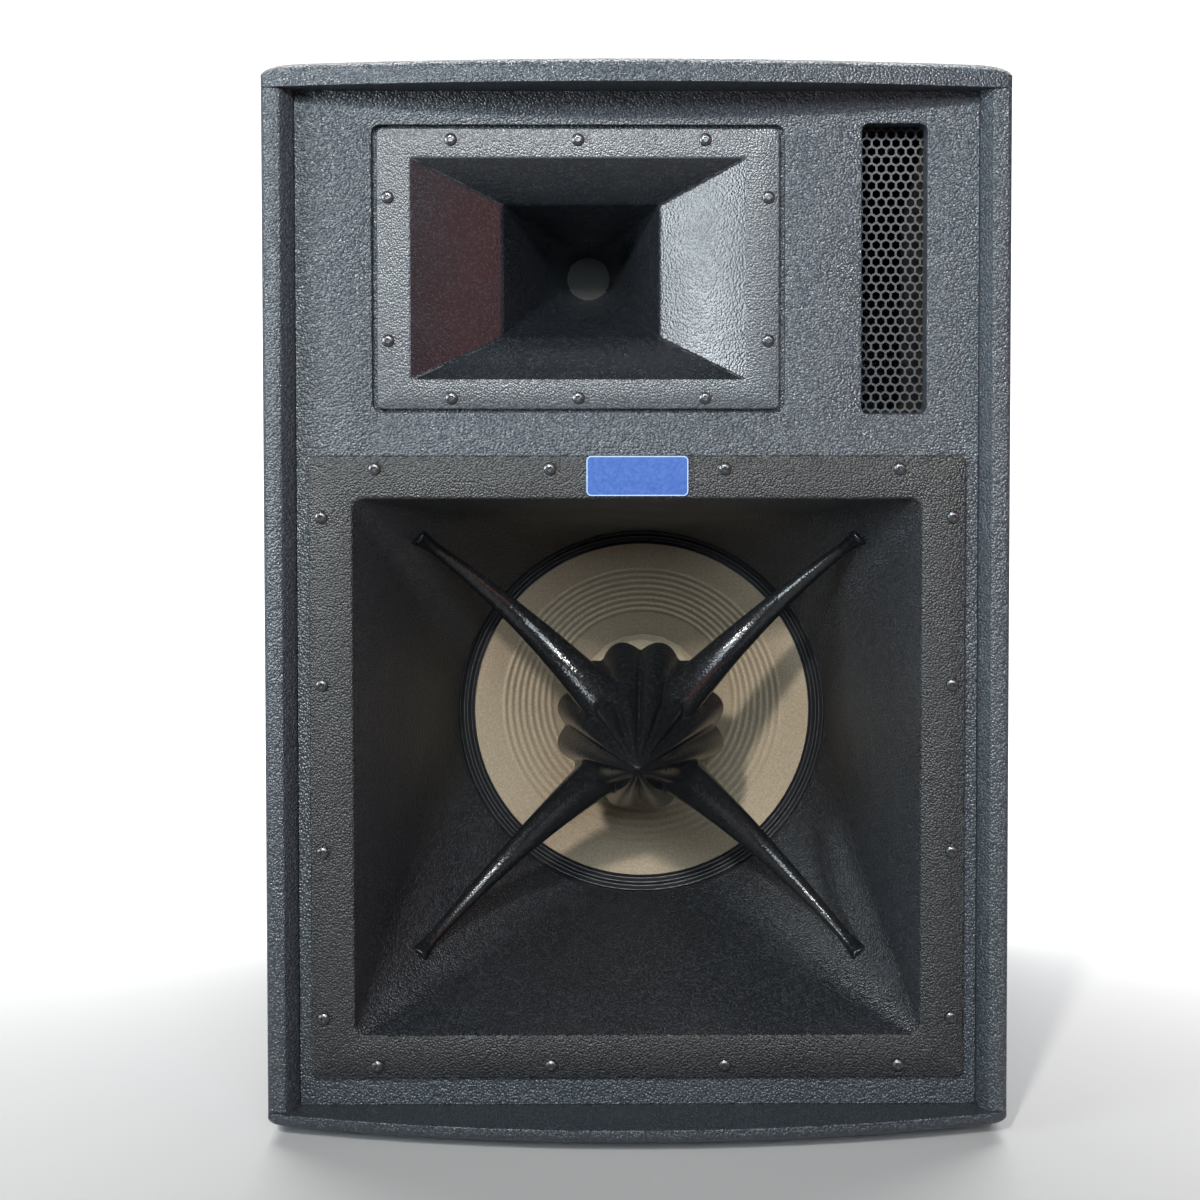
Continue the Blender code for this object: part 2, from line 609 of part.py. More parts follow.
def make_rear_panel():
    """Rear panel with the connector cup's opening and a rebate that takes its flange flush."""
    opening = CUP_MOUTH_SIZE + 2 * (CUP_WALL + CUP_CLEARANCE)
    outlines = [inner_panel_outline()]
    outlines.append(rounded_rectangle(opening, opening, CUP_CORNER_RADIUS, SMALL_CORNER_POINTS, (0.0, CUP_Z)))
    panel = finish_piece("rear_panel", plate_mesh("rear_panel", outlines, REAR_PANEL_THICKNESS),
                         CABINET_PAINT)
    panel.rotation_euler = FACE_FRONT
    panel.location.y = REAR_Y - REAR_PANEL_THICKNESS / 2
    rebate_size = CUP_FLANGE_SIZE + 2 * CUP_CLEARANCE
    rebate = rounded_rectangle(rebate_size, rebate_size, CUP_FLANGE_RADIUS, SMALL_CORNER_POINTS)
    rebate_depth = CUP_FLANGE_THICKNESS + SEAT_GAP
    cutter = finish_piece("cup_rebate_cutter", plate_mesh("cup_rebate_cutter", [rebate], 2 * rebate_depth))
    cutter.rotation_euler = FACE_FRONT
    cutter.location = (0.0, REAR_Y, CUP_Z)
    return add_boolean(panel, cutter)


def make_feet():
    """Four tapered rubber feet, seated under the bottom panel."""
    reach_x = CABINET_WIDTH / 2 - FOOT_INSET
    reach_y = SIDE_DEPTH / 2 - FOOT_INSET
    centre_y = (SIDE_FRONT_Y + REAR_Y) / 2
    profile = [(0.0, FOOT_HEIGHT), (FOOT_RADIUS, FOOT_HEIGHT), (FOOT_RADIUS - FOOT_TAPER, 0.0), (0.0, 0.0)]
    for end, side_y in (("front", -1), ("rear", 1)):
        for hand, side_x in (("left", -1), ("right", 1)):
            foot = turned_piece(f"foot_{end}_{hand}", profile, FOOT_RUBBER, SMALL_SEGMENTS, ring=False)
            foot.location = (side_x * reach_x, centre_y + side_y * reach_y, 0.0)


# Screws

def make_screws(prefix, places, frame, seat_level):
    """Button-head screws, their heads just clear of the flange that they hold."""
    underside = seat_level + SEAT_GAP
    profile = [(0.0, underside + SCREW_HEAD_HEIGHT),
               (SCREW_CROWN_RADIUS, underside + SCREW_HEAD_HEIGHT - SCREW_CROWN_DROP),
               (SCREW_HEAD_RADIUS, underside),
               (SCREW_SHANK_RADIUS, underside),
               (SCREW_SHANK_RADIUS, underside - SCREW_LENGTH),
               (0.0, underside - SCREW_LENGTH)]
    for number, (x, y) in enumerate(places, start=1):
        screw = turned_piece(f"{prefix}_{number:02d}", profile, BLACK_STEEL, SCREW_SEGMENTS, ring=False)
        place(screw, frame, (x, y, 0.0))


def cut_screw_holes(flange, baffle, frame, places):
    """Clearance holes through a flange and the baffle behind it, in one line."""
    radius = SCREW_SHANK_RADIUS + SCREW_CLEARANCE
    spots = [(x, y, 0.0) for x, y in places]
    reach = 3 * BAFFLE_THICKNESS
    cutter = cylinder_cutter(flange.name + "_hole_cutter", spots, radius, reach, SCREW_SEGMENTS)
    place(cutter, frame)
    add_boolean(flange, cutter)
    add_boolean(baffle, cutter)


# Woofer horn, badge and phase plug

def horn_sections():
    """Closed run of sections round the horn's wall: flange, outside, collar at the driver, inside."""
    mouth_out_w = HORN_MOUTH_WIDTH + 2 * HORN_WALL
    mouth_out_h = HORN_MOUTH_HEIGHT + 2 * HORN_WALL
    return [
        (HORN_FLANGE_WIDTH, HORN_FLANGE_HEIGHT, HORN_FLANGE_RADIUS, HORN_FLANGE_FRONT),
        (HORN_FLANGE_WIDTH, HORN_FLANGE_HEIGHT, HORN_FLANGE_RADIUS, SEAT_GAP),
        (mouth_out_w, mouth_out_h, HORN_MOUTH_RADIUS, SEAT_GAP),
        circle_section(HORN_THROAT_RADIUS + HORN_WALL, HORN_THROAT_START),
        circle_section(HORN_COLLAR_RADIUS, HORN_THROAT_START),
        circle_section(HORN_COLLAR_RADIUS, -HORN_DEPTH),
        circle_section(HORN_THROAT_RADIUS, -HORN_DEPTH),
        circle_section(HORN_THROAT_RADIUS, HORN_THROAT_START),
        (HORN_MOUTH_WIDTH, HORN_MOUTH_HEIGHT, HORN_MOUTH_RADIUS, HORN_FLANGE_FRONT),
    ]


def make_woofer_horn(frame, baffle):
    mesh = lofted_mesh("woofer_horn", horn_sections(), CORNER_POINTS, closed=True)
    horn = place(finish_piece("woofer_horn", mesh, HORN_MOULDING, 20.0), frame)
    places = woofer_screw_places()
    cut_screw_holes(horn, baffle, frame, places)
    make_screws("woofer_horn_screw", places, frame, HORN_FLANGE_FRONT)


def make_badge(frame):
    """Bare badge plate, its top edge in line with the flange's."""
    outline = rounded_rectangle(BADGE_WIDTH, BADGE_HEIGHT, BADGE_RADIUS, SMALL_CORNER_POINTS)
    badge = finish_piece("badge_plate", plate_mesh("badge_plate", [outline], BADGE_THICKNESS), BADGE_BLUE)
    level = HORN_FLANGE_FRONT + SEAT_GAP + BADGE_THICKNESS / 2
    place(badge, frame, (0.0, (HORN_FLANGE_HEIGHT - BADGE_HEIGHT) / 2, level))


def plug_body_mesh():
    """Fluted bullet: rings whose radius swells into lobes, from the pointed nose to the widest rim."""
    tip = HORN_FLANGE_FRONT - PLUG_TIP_SETBACK
    rim = tip - PLUG_LENGTH
    back = rim - PLUG_BACK_THICKNESS
    levels = [(share, tip - share * PLUG_LENGTH, PLUG_RADIUS * share ** PLUG_NOSE_POWER)
              for share in PLUG_RING_SHARES]
    levels.append((1.0, back, PLUG_BACK_RADIUS))
    count = PLUG_LOBES * FLUTE_POINTS
    bm = bmesh.new()
    rings = []
    for share, level, radius in levels:
        ring = []
        for step in range(count):
            turn = 2 * math.pi * step / count
            flute = PLUG_FLUTE_DEPTH * share * (1 - abs(math.cos(PLUG_LOBES * turn / 2)))
            reach = radius - flute
            angle = turn + lobe_start()
            ring.append(bm.verts.new((reach * math.cos(angle), reach * math.sin(angle), level)))
        rings.append(ring)
    for upper, lower in zip(rings, rings[1:]):
        for index in range(count):
            after = (index + 1) % count
            bm.faces.new((upper[index], lower[index], lower[after], upper[after]))
    bm.faces.new(rings[0])
    bm.faces.new(rings[-1])
    nose = bmesh.ops.poke(bm, faces=[face for face in bm.faces if len(face.verts) == count])
    for vert in nose["verts"]:
        if vert.co.z > rim:
            vert.co.z = tip
    return mesh_from_bmesh("phase_plug", bm)


def arm_angle():
    return math.atan2(HORN_MOUTH_HEIGHT, HORN_MOUTH_WIDTH)


def lobe_start():
    """One lobe lies along the first arm."""
    return math.pi / 4


def wall_reach(depth):
    """Distance from the horn's axis to its corner crease, at a depth behind the mouth."""
    share = depth / (HORN_FLANGE_FRONT - HORN_THROAT_START)
    mouth = math.hypot(HORN_MOUTH_WIDTH / 2, HORN_MOUTH_HEIGHT / 2)
    return mouth + (HORN_THROAT_RADIUS - mouth) * share


def bend(start, middle, end, share):
    """A value that runs from start to end and is drawn towards the middle one on its way."""
    return start * (1 - share) ** 2 + middle * 2 * share * (1 - share) + end * share ** 2


def arm_mesh(name, angle):
    """One tapered arm from inside the plug to just past the horn's corner, bent back between them."""
    curve = bpy.data.curves.new(name, "CURVE")
    curve.dimensions = "3D"
    curve.bevel_depth = 1.0
    curve.bevel_resolution = 2
    curve.use_fill_caps = True
    spline = curve.splines.new("POLY")
    spline.points.add(ARM_POINTS - 1)
    root_reach = PLUG_RADIUS / 3
    end_reach = wall_reach(ARM_END_DEPTH) + ARM_OVERRUN
    for index, point in enumerate(spline.points):
        share = index / (ARM_POINTS - 1)
        reach = root_reach + (end_reach - root_reach) * share
        depth = bend(ARM_ROOT_DEPTH, ARM_BEND_DEPTH, ARM_END_DEPTH, share)
        point.co = (reach * math.cos(angle), reach * math.sin(angle), HORN_FLANGE_FRONT - depth, 1.0)
        point.radius = bend(ARM_ROOT_RADIUS, ARM_BEND_RADIUS, ARM_END_RADIUS, share)
    return mesh_from_curve(name, curve)


def make_phase_plug(frame):
    """Plug and its four arms as one moulding, trimmed to seat on the horn's corners."""
    plug = place(finish_piece("phase_plug", plug_body_mesh(), PLUG_MOULDING, 50.0), frame)
    lean = arm_angle()
    for number, angle in enumerate((lean, math.pi - lean, math.pi + lean, -lean), start=1):
        name = f"plug_arm_{number}"
        arm = place(finish_piece(name, arm_mesh(name, angle)), frame)
        add_boolean(plug, arm, "UNION")
    inset = 2 * SEAT_GAP
    mouth = (HORN_MOUTH_WIDTH - inset, HORN_MOUTH_HEIGHT - inset, HORN_MOUTH_RADIUS, HORN_FLANGE_FRONT)
    throat = circle_section(HORN_THROAT_RADIUS - SEAT_GAP, HORN_THROAT_START)
    bay = lofted_mesh("horn_bay", [mouth, throat], CORNER_POINTS, closed=False)
    add_boolean(plug, place(finish_piece("horn_bay", bay), frame), "INTERSECT")


# Woofer driver, in a frame whose origin is the centre of the collar's rear face

def basket_wall_radius(level):
    """Inner radius of the basket's sloping wall at a level below its rim."""
    top = -BASKET_RIM_THICKNESS
    floor = BASKET_FLOOR_THICKNESS - BASKET_DEPTH
    low_radius = BASKET_FLOOR_RADIUS - BASKET_WALL
    share = (top - level) / (top - floor)
    return BASKET_INNER_RADIUS + (low_radius - BASKET_INNER_RADIUS) * share


def make_basket(frame):
    """Cast frame: rim with a raised edge, sloping wall with windows, and a floor for the magnet."""
    seat = -BASKET_SEAT_DEPTH - SEAT_GAP
    floor = BASKET_FLOOR_THICKNESS - BASKET_DEPTH
    profile = [
        (BASKET_RADIUS, -SEAT_GAP),
        (BASKET_RADIUS, -BASKET_RIM_THICKNESS),
        (BASKET_INNER_RADIUS + BASKET_WALL, -BASKET_RIM_THICKNESS),
        (BASKET_FLOOR_RADIUS, floor),
        (BASKET_FLOOR_RADIUS, -BASKET_DEPTH),
        (BASKET_FLOOR_BORE, -BASKET_DEPTH),
        (BASKET_FLOOR_BORE, floor),
        (BASKET_FLOOR_RADIUS - BASKET_WALL, floor),
        (BASKET_INNER_RADIUS, -BASKET_RIM_THICKNESS),
        (BASKET_INNER_RADIUS, seat),
        (BASKET_SEAT_RADIUS, seat),
        (BASKET_SEAT_RADIUS, -SEAT_GAP),
    ]
    basket = place(turned_piece("woofer_basket", profile, CAST_FRAME, FINE_SEGMENTS), frame)
    height = BASKET_WINDOW_BOTTOM - BASKET_WINDOW_TOP
    bm = bmesh.new()
    for spoke in range(BASKET_SPOKES):
        turn = Matrix.Rotation(2 * math.pi * (spoke + 0.5) / BASKET_SPOKES, 4, "Z")
        shift = Matrix.Translation((BASKET_RADIUS, 0.0, -BASKET_WINDOW_TOP - height / 2))
        size = Matrix.Diagonal((BASKET_RADIUS, BASKET_WINDOW_WIDTH, height, 1.0))
        bmesh.ops.create_cube(bm, size=1.0, matrix=turn @ shift @ size)
    mesh = bpy.data.meshes.new("basket_windows")
    bm.to_mesh(mesh)
    bm.free()
    add_boolean(basket, place(finish_piece("basket_windows", mesh), frame))


def cone_level(radius):
    """Height of the cone's front face at a radius."""
    neck = COIL_RADIUS + SEAT_GAP
    share = (CONE_EDGE_RADIUS - radius) / (CONE_EDGE_RADIUS - neck)
    return -CONE_EDGE_SETBACK - CONE_DEPTH * share ** CONE_CURVE_POWER


def make_cone(frame):
    """Paper cone with its ring of ribs pressed into the middle of its slope."""
    neck = COIL_RADIUS + SEAT_GAP
    rib_step = (CONE_RIB_OUTER_RADIUS - CONE_RIB_INNER_RADIUS) / CONE_RIBS
    slope = (neck + CONE_RIB_INNER_RADIUS) / 2
    front = [(neck, cone_level(neck)), (slope, cone_level(slope))]
    for rib in range(CONE_RIBS):
        low = CONE_RIB_INNER_RADIUS + rib * rib_step
        crest = low + rib_step / 2
        front.append((low, cone_level(low)))
        front.append((crest, cone_level(crest) + CONE_RIB_HEIGHT))
    front.append((CONE_RIB_OUTER_RADIUS, cone_level(CONE_RIB_OUTER_RADIUS)))
    front.append((CONE_EDGE_RADIUS, cone_level(CONE_EDGE_RADIUS)))
    middle = (CONE_RIB_INNER_RADIUS + CONE_RIB_OUTER_RADIUS) / 2
    back = [(radius, cone_level(radius) - CONE_THICKNESS) for radius in (CONE_EDGE_RADIUS, middle, neck)]
    place(turned_piece("woofer_cone", back + front, CONE_PAPER, FINE_SEGMENTS), frame)


def wave_profile(inner, outer, waves, height, thickness, level):
    """Ring profile of a corrugated cloth: its underside inward, then its upper side outward."""
    count = 2 * waves
    line = []
    for step in range(count + 1):
        rise = height * (step % 2)
        line.append((inner + (outer - inner) * step / count, level + rise))
    under = [(radius, z - thickness) for radius, z in reversed(line)]
    return under + line


def make_surround(frame):
    """Accordion surround: rolls between the cone's edge and the flat ring glued to the basket."""
    inner = CONE_EDGE_RADIUS + SEAT_GAP
    level = -BASKET_SEAT_DEPTH
    count = 2 * SURROUND_ROLLS
    line = []
    for step in range(count + 1):
        share = step / count
        slope = (cone_level(CONE_EDGE_RADIUS) - level) * (1 - share)
        dip = SURROUND_ROLL_HEIGHT * (1 - math.cos(2 * math.pi * SURROUND_ROLLS * share)) / 2
        line.append((inner + (BASKET_INNER_RADIUS - inner) * share, level + slope - dip))
    flat_edge = BASKET_SEAT_RADIUS - SEAT_GAP
    line.append((flat_edge, level))
    under = [(radius, z - SURROUND_THICKNESS) for radius, z in reversed(line)]
    lift = SURROUND_THICKNESS
    profile = [(radius, z + lift) for radius, z in under + line]
    place(turned_piece("woofer_surround", profile, SURROUND_CLOTH, FINE_SEGMENTS), frame)


def make_dust_cap(frame):
    """Domed cap glued on the cone, over the voice coil."""
    rim = cone_level(DUST_CAP_RADIUS) + SEAT_GAP + DUST_CAP_THICKNESS
    outside = []
    for step in range(DOME_STEPS + 1):
        angle = math.pi / 2 * step / DOME_STEPS
        outside.append((DUST_CAP_RADIUS * math.sin(angle), rim + DUST_CAP_HEIGHT * math.cos(angle)))
    inside = [(max(radius - DUST_CAP_THICKNESS, 0.0), z - DUST_CAP_THICKNESS)
              for radius, z in reversed(outside)]
    place(turned_piece("woofer_dust_cap", outside + inside, CONE_PAPER, ring=False), frame)


def make_voice_coil(frame):
    """Coil former with its winding, from the cone's neck into the magnet's air gap."""
    top = cone_level(COIL_RADIUS + SEAT_GAP) + COIL_NECK_OVERLAP
    low = top - COIL_LENGTH
    inner = COIL_RADIUS - COIL_WALL
    profile = [(COIL_RADIUS, top), (COIL_RADIUS, low), (inner, low), (inner, top)]
    place(turned_piece("voice_coil", profile, COPPER_COIL), frame)


def make_spider(frame):
    """Corrugated centring ring between the coil and the basket's wall."""
    inner = COIL_RADIUS + SEAT_GAP
    outer = basket_wall_radius(-SPIDER_DEPTH - SPIDER_THICKNESS) - 2 * SEAT_GAP
    profile = wave_profile(inner, outer, SPIDER_WAVES, SPIDER_WAVE_HEIGHT, SPIDER_THICKNESS, -SPIDER_DEPTH)
    place(turned_piece("woofer_spider", profile, SPIDER_CLOTH, FINE_SEGMENTS), frame)


def make_ring(name, frame, outer, bore, top, thickness, material):
    profile = [(outer, top), (outer, top - thickness), (bore, top - thickness), (bore, top)]
    place(turned_piece(name, profile, material), frame)
    return top - thickness - SEAT_GAP


def make_magnet_system(frame):
    """Top plate, ferrite ring, and the yoke whose vented pole reaches back through them."""
    top = -BASKET_DEPTH - SEAT_GAP
    level = make_ring("woofer_top_plate", frame, TOP_PLATE_RADIUS, COIL_RADIUS + AIR_GAP, top,
                      TOP_PLATE_THICKNESS, PLATED_STEEL)
    level = make_ring("woofer_magnet", frame, MAGNET_RADIUS, MAGNET_BORE, level, MAGNET_THICKNESS, FERRITE)
    pole = COIL_RADIUS - COIL_WALL - AIR_GAP
    profile = [
        (pole, top),
        (pole, level),
        (YOKE_RADIUS, level),
        (YOKE_RADIUS, level - YOKE_THICKNESS),
        (YOKE_VENT_RADIUS, level - YOKE_THICKNESS),
        (YOKE_VENT_RADIUS, top),
    ]
    place(turned_piece("woofer_yoke", profile, PLATED_STEEL), frame)


# High-frequency horn and compression driver

def hf_horn_sections():
    """Closed run of sections: flange, outside of the two flares, collar, then the inside."""
    wall = 2 * HF_WALL
    back = HF_COLLAR_THICKNESS - HF_DEPTH
    return [
        (HF_FLANGE_WIDTH, HF_FLANGE_HEIGHT, HF_FLANGE_RADIUS, 0.0),
        (HF_FLANGE_WIDTH, HF_FLANGE_HEIGHT, HF_FLANGE_RADIUS, -HF_FLANGE_THICKNESS),
        (HF_MOUTH_WIDTH + wall, HF_MOUTH_HEIGHT + wall, HF_MOUTH_RADIUS, -HF_FLANGE_THICKNESS),
        (HF_WAIST_WIDTH + wall, HF_WAIST_HEIGHT + wall, HF_MOUTH_RADIUS, -HF_WAIST_DEPTH),
        circle_section(HF_THROAT_RADIUS + HF_WALL, back),
        circle_section(HF_COLLAR_RADIUS, back),
        circle_section(HF_COLLAR_RADIUS, -HF_DEPTH),
        circle_section(HF_THROAT_RADIUS, -HF_DEPTH),
        (HF_WAIST_WIDTH, HF_WAIST_HEIGHT, HF_MOUTH_RADIUS, -HF_WAIST_DEPTH),
        (HF_MOUTH_WIDTH, HF_MOUTH_HEIGHT, HF_MOUTH_RADIUS, 0.0),
    ]


def make_hf_horn(frame, baffle):
    mesh = lofted_mesh("hf_horn", hf_horn_sections(), SMALL_CORNER_POINTS, closed=True)
    horn = place(finish_piece("hf_horn", mesh, HORN_MOULDING, 20.0), frame)
    places = hf_screw_places()
    cut_screw_holes(horn, baffle, frame, places)
    make_screws("hf_horn_screw", places, frame, 0.0)


def make_compression_driver(frame):
    """Driver behind the throat, in a frame whose origin is the centre of the collar's rear face."""
    front = -SEAT_GAP
    rebate = front - SCREEN_THICKNESS - SEAT_GAP
    screen = [(0.0, front), (SCREEN_RADIUS, front), (SCREEN_RADIUS, front - SCREEN_THICKNESS),
              (0.0, front - SCREEN_THICKNESS)]
    place(turned_piece("hf_throat_screen", screen, SCREEN_MESH, SMALL_SEGMENTS, ring=False), frame)
    plate_back = front - HF_PLATE_THICKNESS
    magnet_top = plate_back - SEAT_GAP
    plate_top = magnet_top - HF_MAGNET_THICKNESS - SEAT_GAP
    pole_end = plate_top - HF_TOP_PLATE_THICKNESS
    pocket = SCREEN_RADIUS + SEAT_GAP
    body = [
        (HF_PLATE_RADIUS, front),
        (HF_PLATE_RADIUS, plate_back),
        (HF_POLE_RADIUS, plate_back),
        (HF_POLE_RADIUS, pole_end),
        (HF_BORE_REAR_RADIUS, pole_end),
        (HF_BORE_FRONT_RADIUS, rebate),
        (pocket, rebate),
        (pocket, front),
    ]
    place(turned_piece("hf_driver_body", body, PLATED_STEEL, SMALL_SEGMENTS), frame)
    make_ring("hf_magnet", frame, HF_MAGNET_RADIUS, HF_MAGNET_BORE, magnet_top, HF_MAGNET_THICKNESS, FERRITE)
    back = make_ring("hf_top_plate", frame, HF_TOP_PLATE_RADIUS, HF_POLE_RADIUS + HF_COIL_GAP, plate_top,
                     HF_TOP_PLATE_THICKNESS, PLATED_STEEL)
    make_diaphragm(frame, back)
    cover_back = back - HF_COVER_DEPTH
    cover_floor = cover_back + HF_COVER_THICKNESS
    cover = [(0.0, cover_floor), (HF_COVER_BORE, cover_floor), (HF_COVER_BORE, back),
             (HF_COVER_RADIUS, back), (HF_COVER_RADIUS, cover_back), (0.0, cover_back)]
    place(turned_piece("hf_rear_cover", cover, CUP_PLASTIC, ring=False), frame)


def make_diaphragm(frame, seat):
    """Dome with its coil in the gap and a flat rim held clear of the plate by its travel."""
    front = seat - DIAPHRAGM_TRAVEL + SEAT_GAP / 2
    back = front - DIAPHRAGM_THICKNESS
    coil_inner = HF_POLE_RADIUS + HF_COIL_GAP / 3
    coil_outer = HF_POLE_RADIUS + HF_COIL_GAP * 2 / 3
    coil_end = front + DIAPHRAGM_COIL_LENGTH
    dome = []
    for step in range(DOME_STEPS + 1):
        angle = math.pi / 2 * step / DOME_STEPS
        dome.append((coil_inner * math.cos(angle), back - DIAPHRAGM_DOME_HEIGHT * math.sin(angle)))
    inside = [(max(radius - DIAPHRAGM_THICKNESS, 0.0), z + DIAPHRAGM_THICKNESS)
              for radius, z in reversed(dome)]
    profile = inside[:-1] + [(coil_inner, front), (coil_inner, coil_end), (coil_outer, coil_end),
                             (coil_outer, front), (DIAPHRAGM_RIM_RADIUS, front),
                             (DIAPHRAGM_RIM_RADIUS, back)] + dome
    place(turned_piece("hf_diaphragm", profile, DOME_METAL, SMALL_SEGMENTS, ring=False), frame)


# Port

def grille_holes():
    """Staggered rows of six-sided holes that fill the port's slot."""
    row_pitch = GRILLE_PITCH * math.sqrt(3) / 2
    half_rows = int((PORT_HEIGHT / 2 - GRILLE_HOLE_WIDTH / 2) / row_pitch)
    half_width = PORT_WIDTH / 2 + GRILLE_HOLE_WIDTH / 2
    radius = GRILLE_HOLE_WIDTH / math.sqrt(3)
    holes = []
    for row in range(-half_rows, half_rows + 1):
        shift = (row % 2) / 2
        reach = int(half_width / GRILLE_PITCH) + 1
        for column in range(-reach, reach + 1):
            x = (column + shift) * GRILLE_PITCH
            if abs(x) + radius < half_width:
                holes.append(polygon(radius, 6, (x, row * row_pitch), math.pi / 6))
    return holes


def make_port():
    """Perforated sheet behind the slot, and the square duct that holds it there."""
    width = PORT_WIDTH + 2 * GRILLE_MARGIN
    height = PORT_HEIGHT + 2 * GRILLE_MARGIN
    sheet = rounded_rectangle(width, height, PORT_RADIUS, SMALL_CORNER_POINTS)
    mesh = plate_mesh("port_grille", [sheet] + grille_holes(), GRILLE_THICKNESS)
    grille = finish_piece("port_grille", mesh, BLACK_STEEL)
    grille.rotation_euler = FACE_FRONT
    grille.location = (PORT_CENTRE_X, GRILLE_FRONT_Y + GRILLE_THICKNESS / 2, HF_Z)
    inside = rounded_rectangle(PORT_WIDTH, PORT_HEIGHT, PORT_RADIUS, SMALL_CORNER_POINTS)
    outside = rounded_rectangle(PORT_WIDTH + 2 * DUCT_WALL, PORT_HEIGHT + 2 * DUCT_WALL,
                                PORT_RADIUS, SMALL_CORNER_POINTS)
    duct = finish_piece("port_duct", plate_mesh("port_duct", [outside, inside], DUCT_LENGTH), DUCT_BOARD)
    duct.rotation_euler = FACE_FRONT
    duct.location = (PORT_CENTRE_X, DUCT_FRONT_Y + DUCT_LENGTH / 2, HF_Z)


# Rear connector cup, its socket, and the crossover board

def make_connector_cup(frame):
    """Recessed cup: flush flange, tapering wall and a floor with the socket's hole."""
    wall = 2 * CUP_WALL
    hole_sides = 4 * (SMALL_CORNER_POINTS - 1)
    hole = (SOCKET_BARREL_RADIUS + SEAT_GAP) / math.cos(math.pi / hole_sides)
    floor = -CUP_DEPTH
    sections = [
        (CUP_FLANGE_SIZE, CUP_FLANGE_SIZE, CUP_FLANGE_RADIUS, 0.0),
        (CUP_FLANGE_SIZE, CUP_FLANGE_SIZE, CUP_FLANGE_RADIUS, -CUP_FLANGE_THICKNESS),
        (CUP_MOUTH_SIZE + wall, CUP_MOUTH_SIZE + wall, CUP_CORNER_RADIUS, -CUP_FLANGE_THICKNESS),
        (CUP_FLOOR_SIZE + wall, CUP_FLOOR_SIZE + wall, CUP_CORNER_RADIUS, floor - CUP_WALL),
        circle_section(hole, floor - CUP_WALL),
        circle_section(hole, floor),
        (CUP_FLOOR_SIZE, CUP_FLOOR_SIZE, CUP_CORNER_RADIUS, floor),
        (CUP_MOUTH_SIZE, CUP_MOUTH_SIZE, CUP_CORNER_RADIUS, 0.0),
    ]
    mesh = lofted_mesh("connector_cup", sections, SMALL_CORNER_POINTS, closed=True)
    place(finish_piece("connector_cup", mesh, CUP_PLASTIC), frame)
    seat = floor + SEAT_GAP
    face = seat + SOCKET_FLANGE_THICKNESS
    bore_end = face - SOCKET_BORE_DEPTH
    socket = [
        (0.0, face - SOCKET_POST_SETBACK),
        (SOCKET_POST_RADIUS, face - SOCKET_POST_SETBACK),
        (SOCKET_POST_RADIUS, bore_end),
        (SOCKET_BORE_RADIUS, bore_end),
        (SOCKET_BORE_RADIUS, face),
        (SOCKET_FLANGE_RADIUS, face),
        (SOCKET_FLANGE_RADIUS, seat),
        (SOCKET_BARREL_RADIUS, seat),
        (SOCKET_BARREL_RADIUS, seat - SOCKET_BARREL_LENGTH),
        (0.0, seat - SOCKET_BARREL_LENGTH),
    ]
    place(turned_piece("input_socket", socket, CUP_PLASTIC, SMALL_SEGMENTS, ring=False), frame)


def make_crossover(frame):
    """Crossover board on four posts, with a choke and two capacitors soldered on it."""
    level = SEAT_GAP + BOARD_POST_HEIGHT
    board = finish_piece("crossover_board", box_mesh("crossover_board",
                         (BOARD_WIDTH, BOARD_HEIGHT, BOARD_THICKNESS)), BOARD_RESIN)
    place(board, frame, (0.0, 0.0, level + BOARD_THICKNESS / 2))
    sunk = BOARD_THICKNESS / 2
    reach_x = BOARD_WIDTH / 2 - BOARD_POST_INSET
    reach_y = BOARD_HEIGHT / 2 - BOARD_POST_INSET
    post_height = BOARD_POST_HEIGHT + sunk
    spots = [(x * reach_x, y * reach_y, SEAT_GAP + post_height / 2) for x, y in CORNERS]
    posts = cylinder_cutter("board_posts", spots, BOARD_POST_RADIUS, post_height, SCREW_SEGMENTS)
    add_boolean(board, place(posts, frame), "UNION")
    choke = turned_piece("choke", [(CHOKE_RADIUS, CHOKE_HEIGHT), (CHOKE_RADIUS, 0.0), (CHOKE_BORE, 0.0),
                                   (CHOKE_BORE, CHOKE_HEIGHT)], None, SMALL_SEGMENTS)
    place(choke, frame, (-BOARD_WIDTH / 4, 0.0, level + sunk))
    add_boolean(board, choke, "UNION")
    for number, side in enumerate((1, -1), start=1):
        can = cylinder_cutter(f"capacitor_{number}", [(0.0, 0.0, 0.0)], CAPACITOR_RADIUS, CAPACITOR_LENGTH,
                              SMALL_SEGMENTS)
        can.rotation_euler = (0.0, math.pi / 2, 0.0)
        lift = level + sunk + CAPACITOR_RADIUS - CAPACITOR_SINK
        place(can, frame, (BOARD_WIDTH / 4, side * BOARD_HEIGHT / 4, lift))
        add_boolean(board, can, "UNION")


# Assembly
make_end_panel("top_panel", INNER_TOP_Z, TOP_PANEL_THICKNESS, 1, TOP_ROUND_OVER)
make_end_panel("bottom_panel", BASE_Z, BOTTOM_PANEL_THICKNESS, -1, BOTTOM_ROUND_OVER)
make_side_panel("left_side_panel", -1)
make_side_panel("right_side_panel", 1)
BAFFLE = make_front_baffle()
make_rear_panel()
make_feet()

WOOFER_FRAME = make_frame("woofer_frame", (0.0, BAFFLE_FRONT_Y, WOOFER_Z), FACE_FRONT)
make_woofer_horn(WOOFER_FRAME, BAFFLE)
make_badge(WOOFER_FRAME)
make_phase_plug(WOOFER_FRAME)

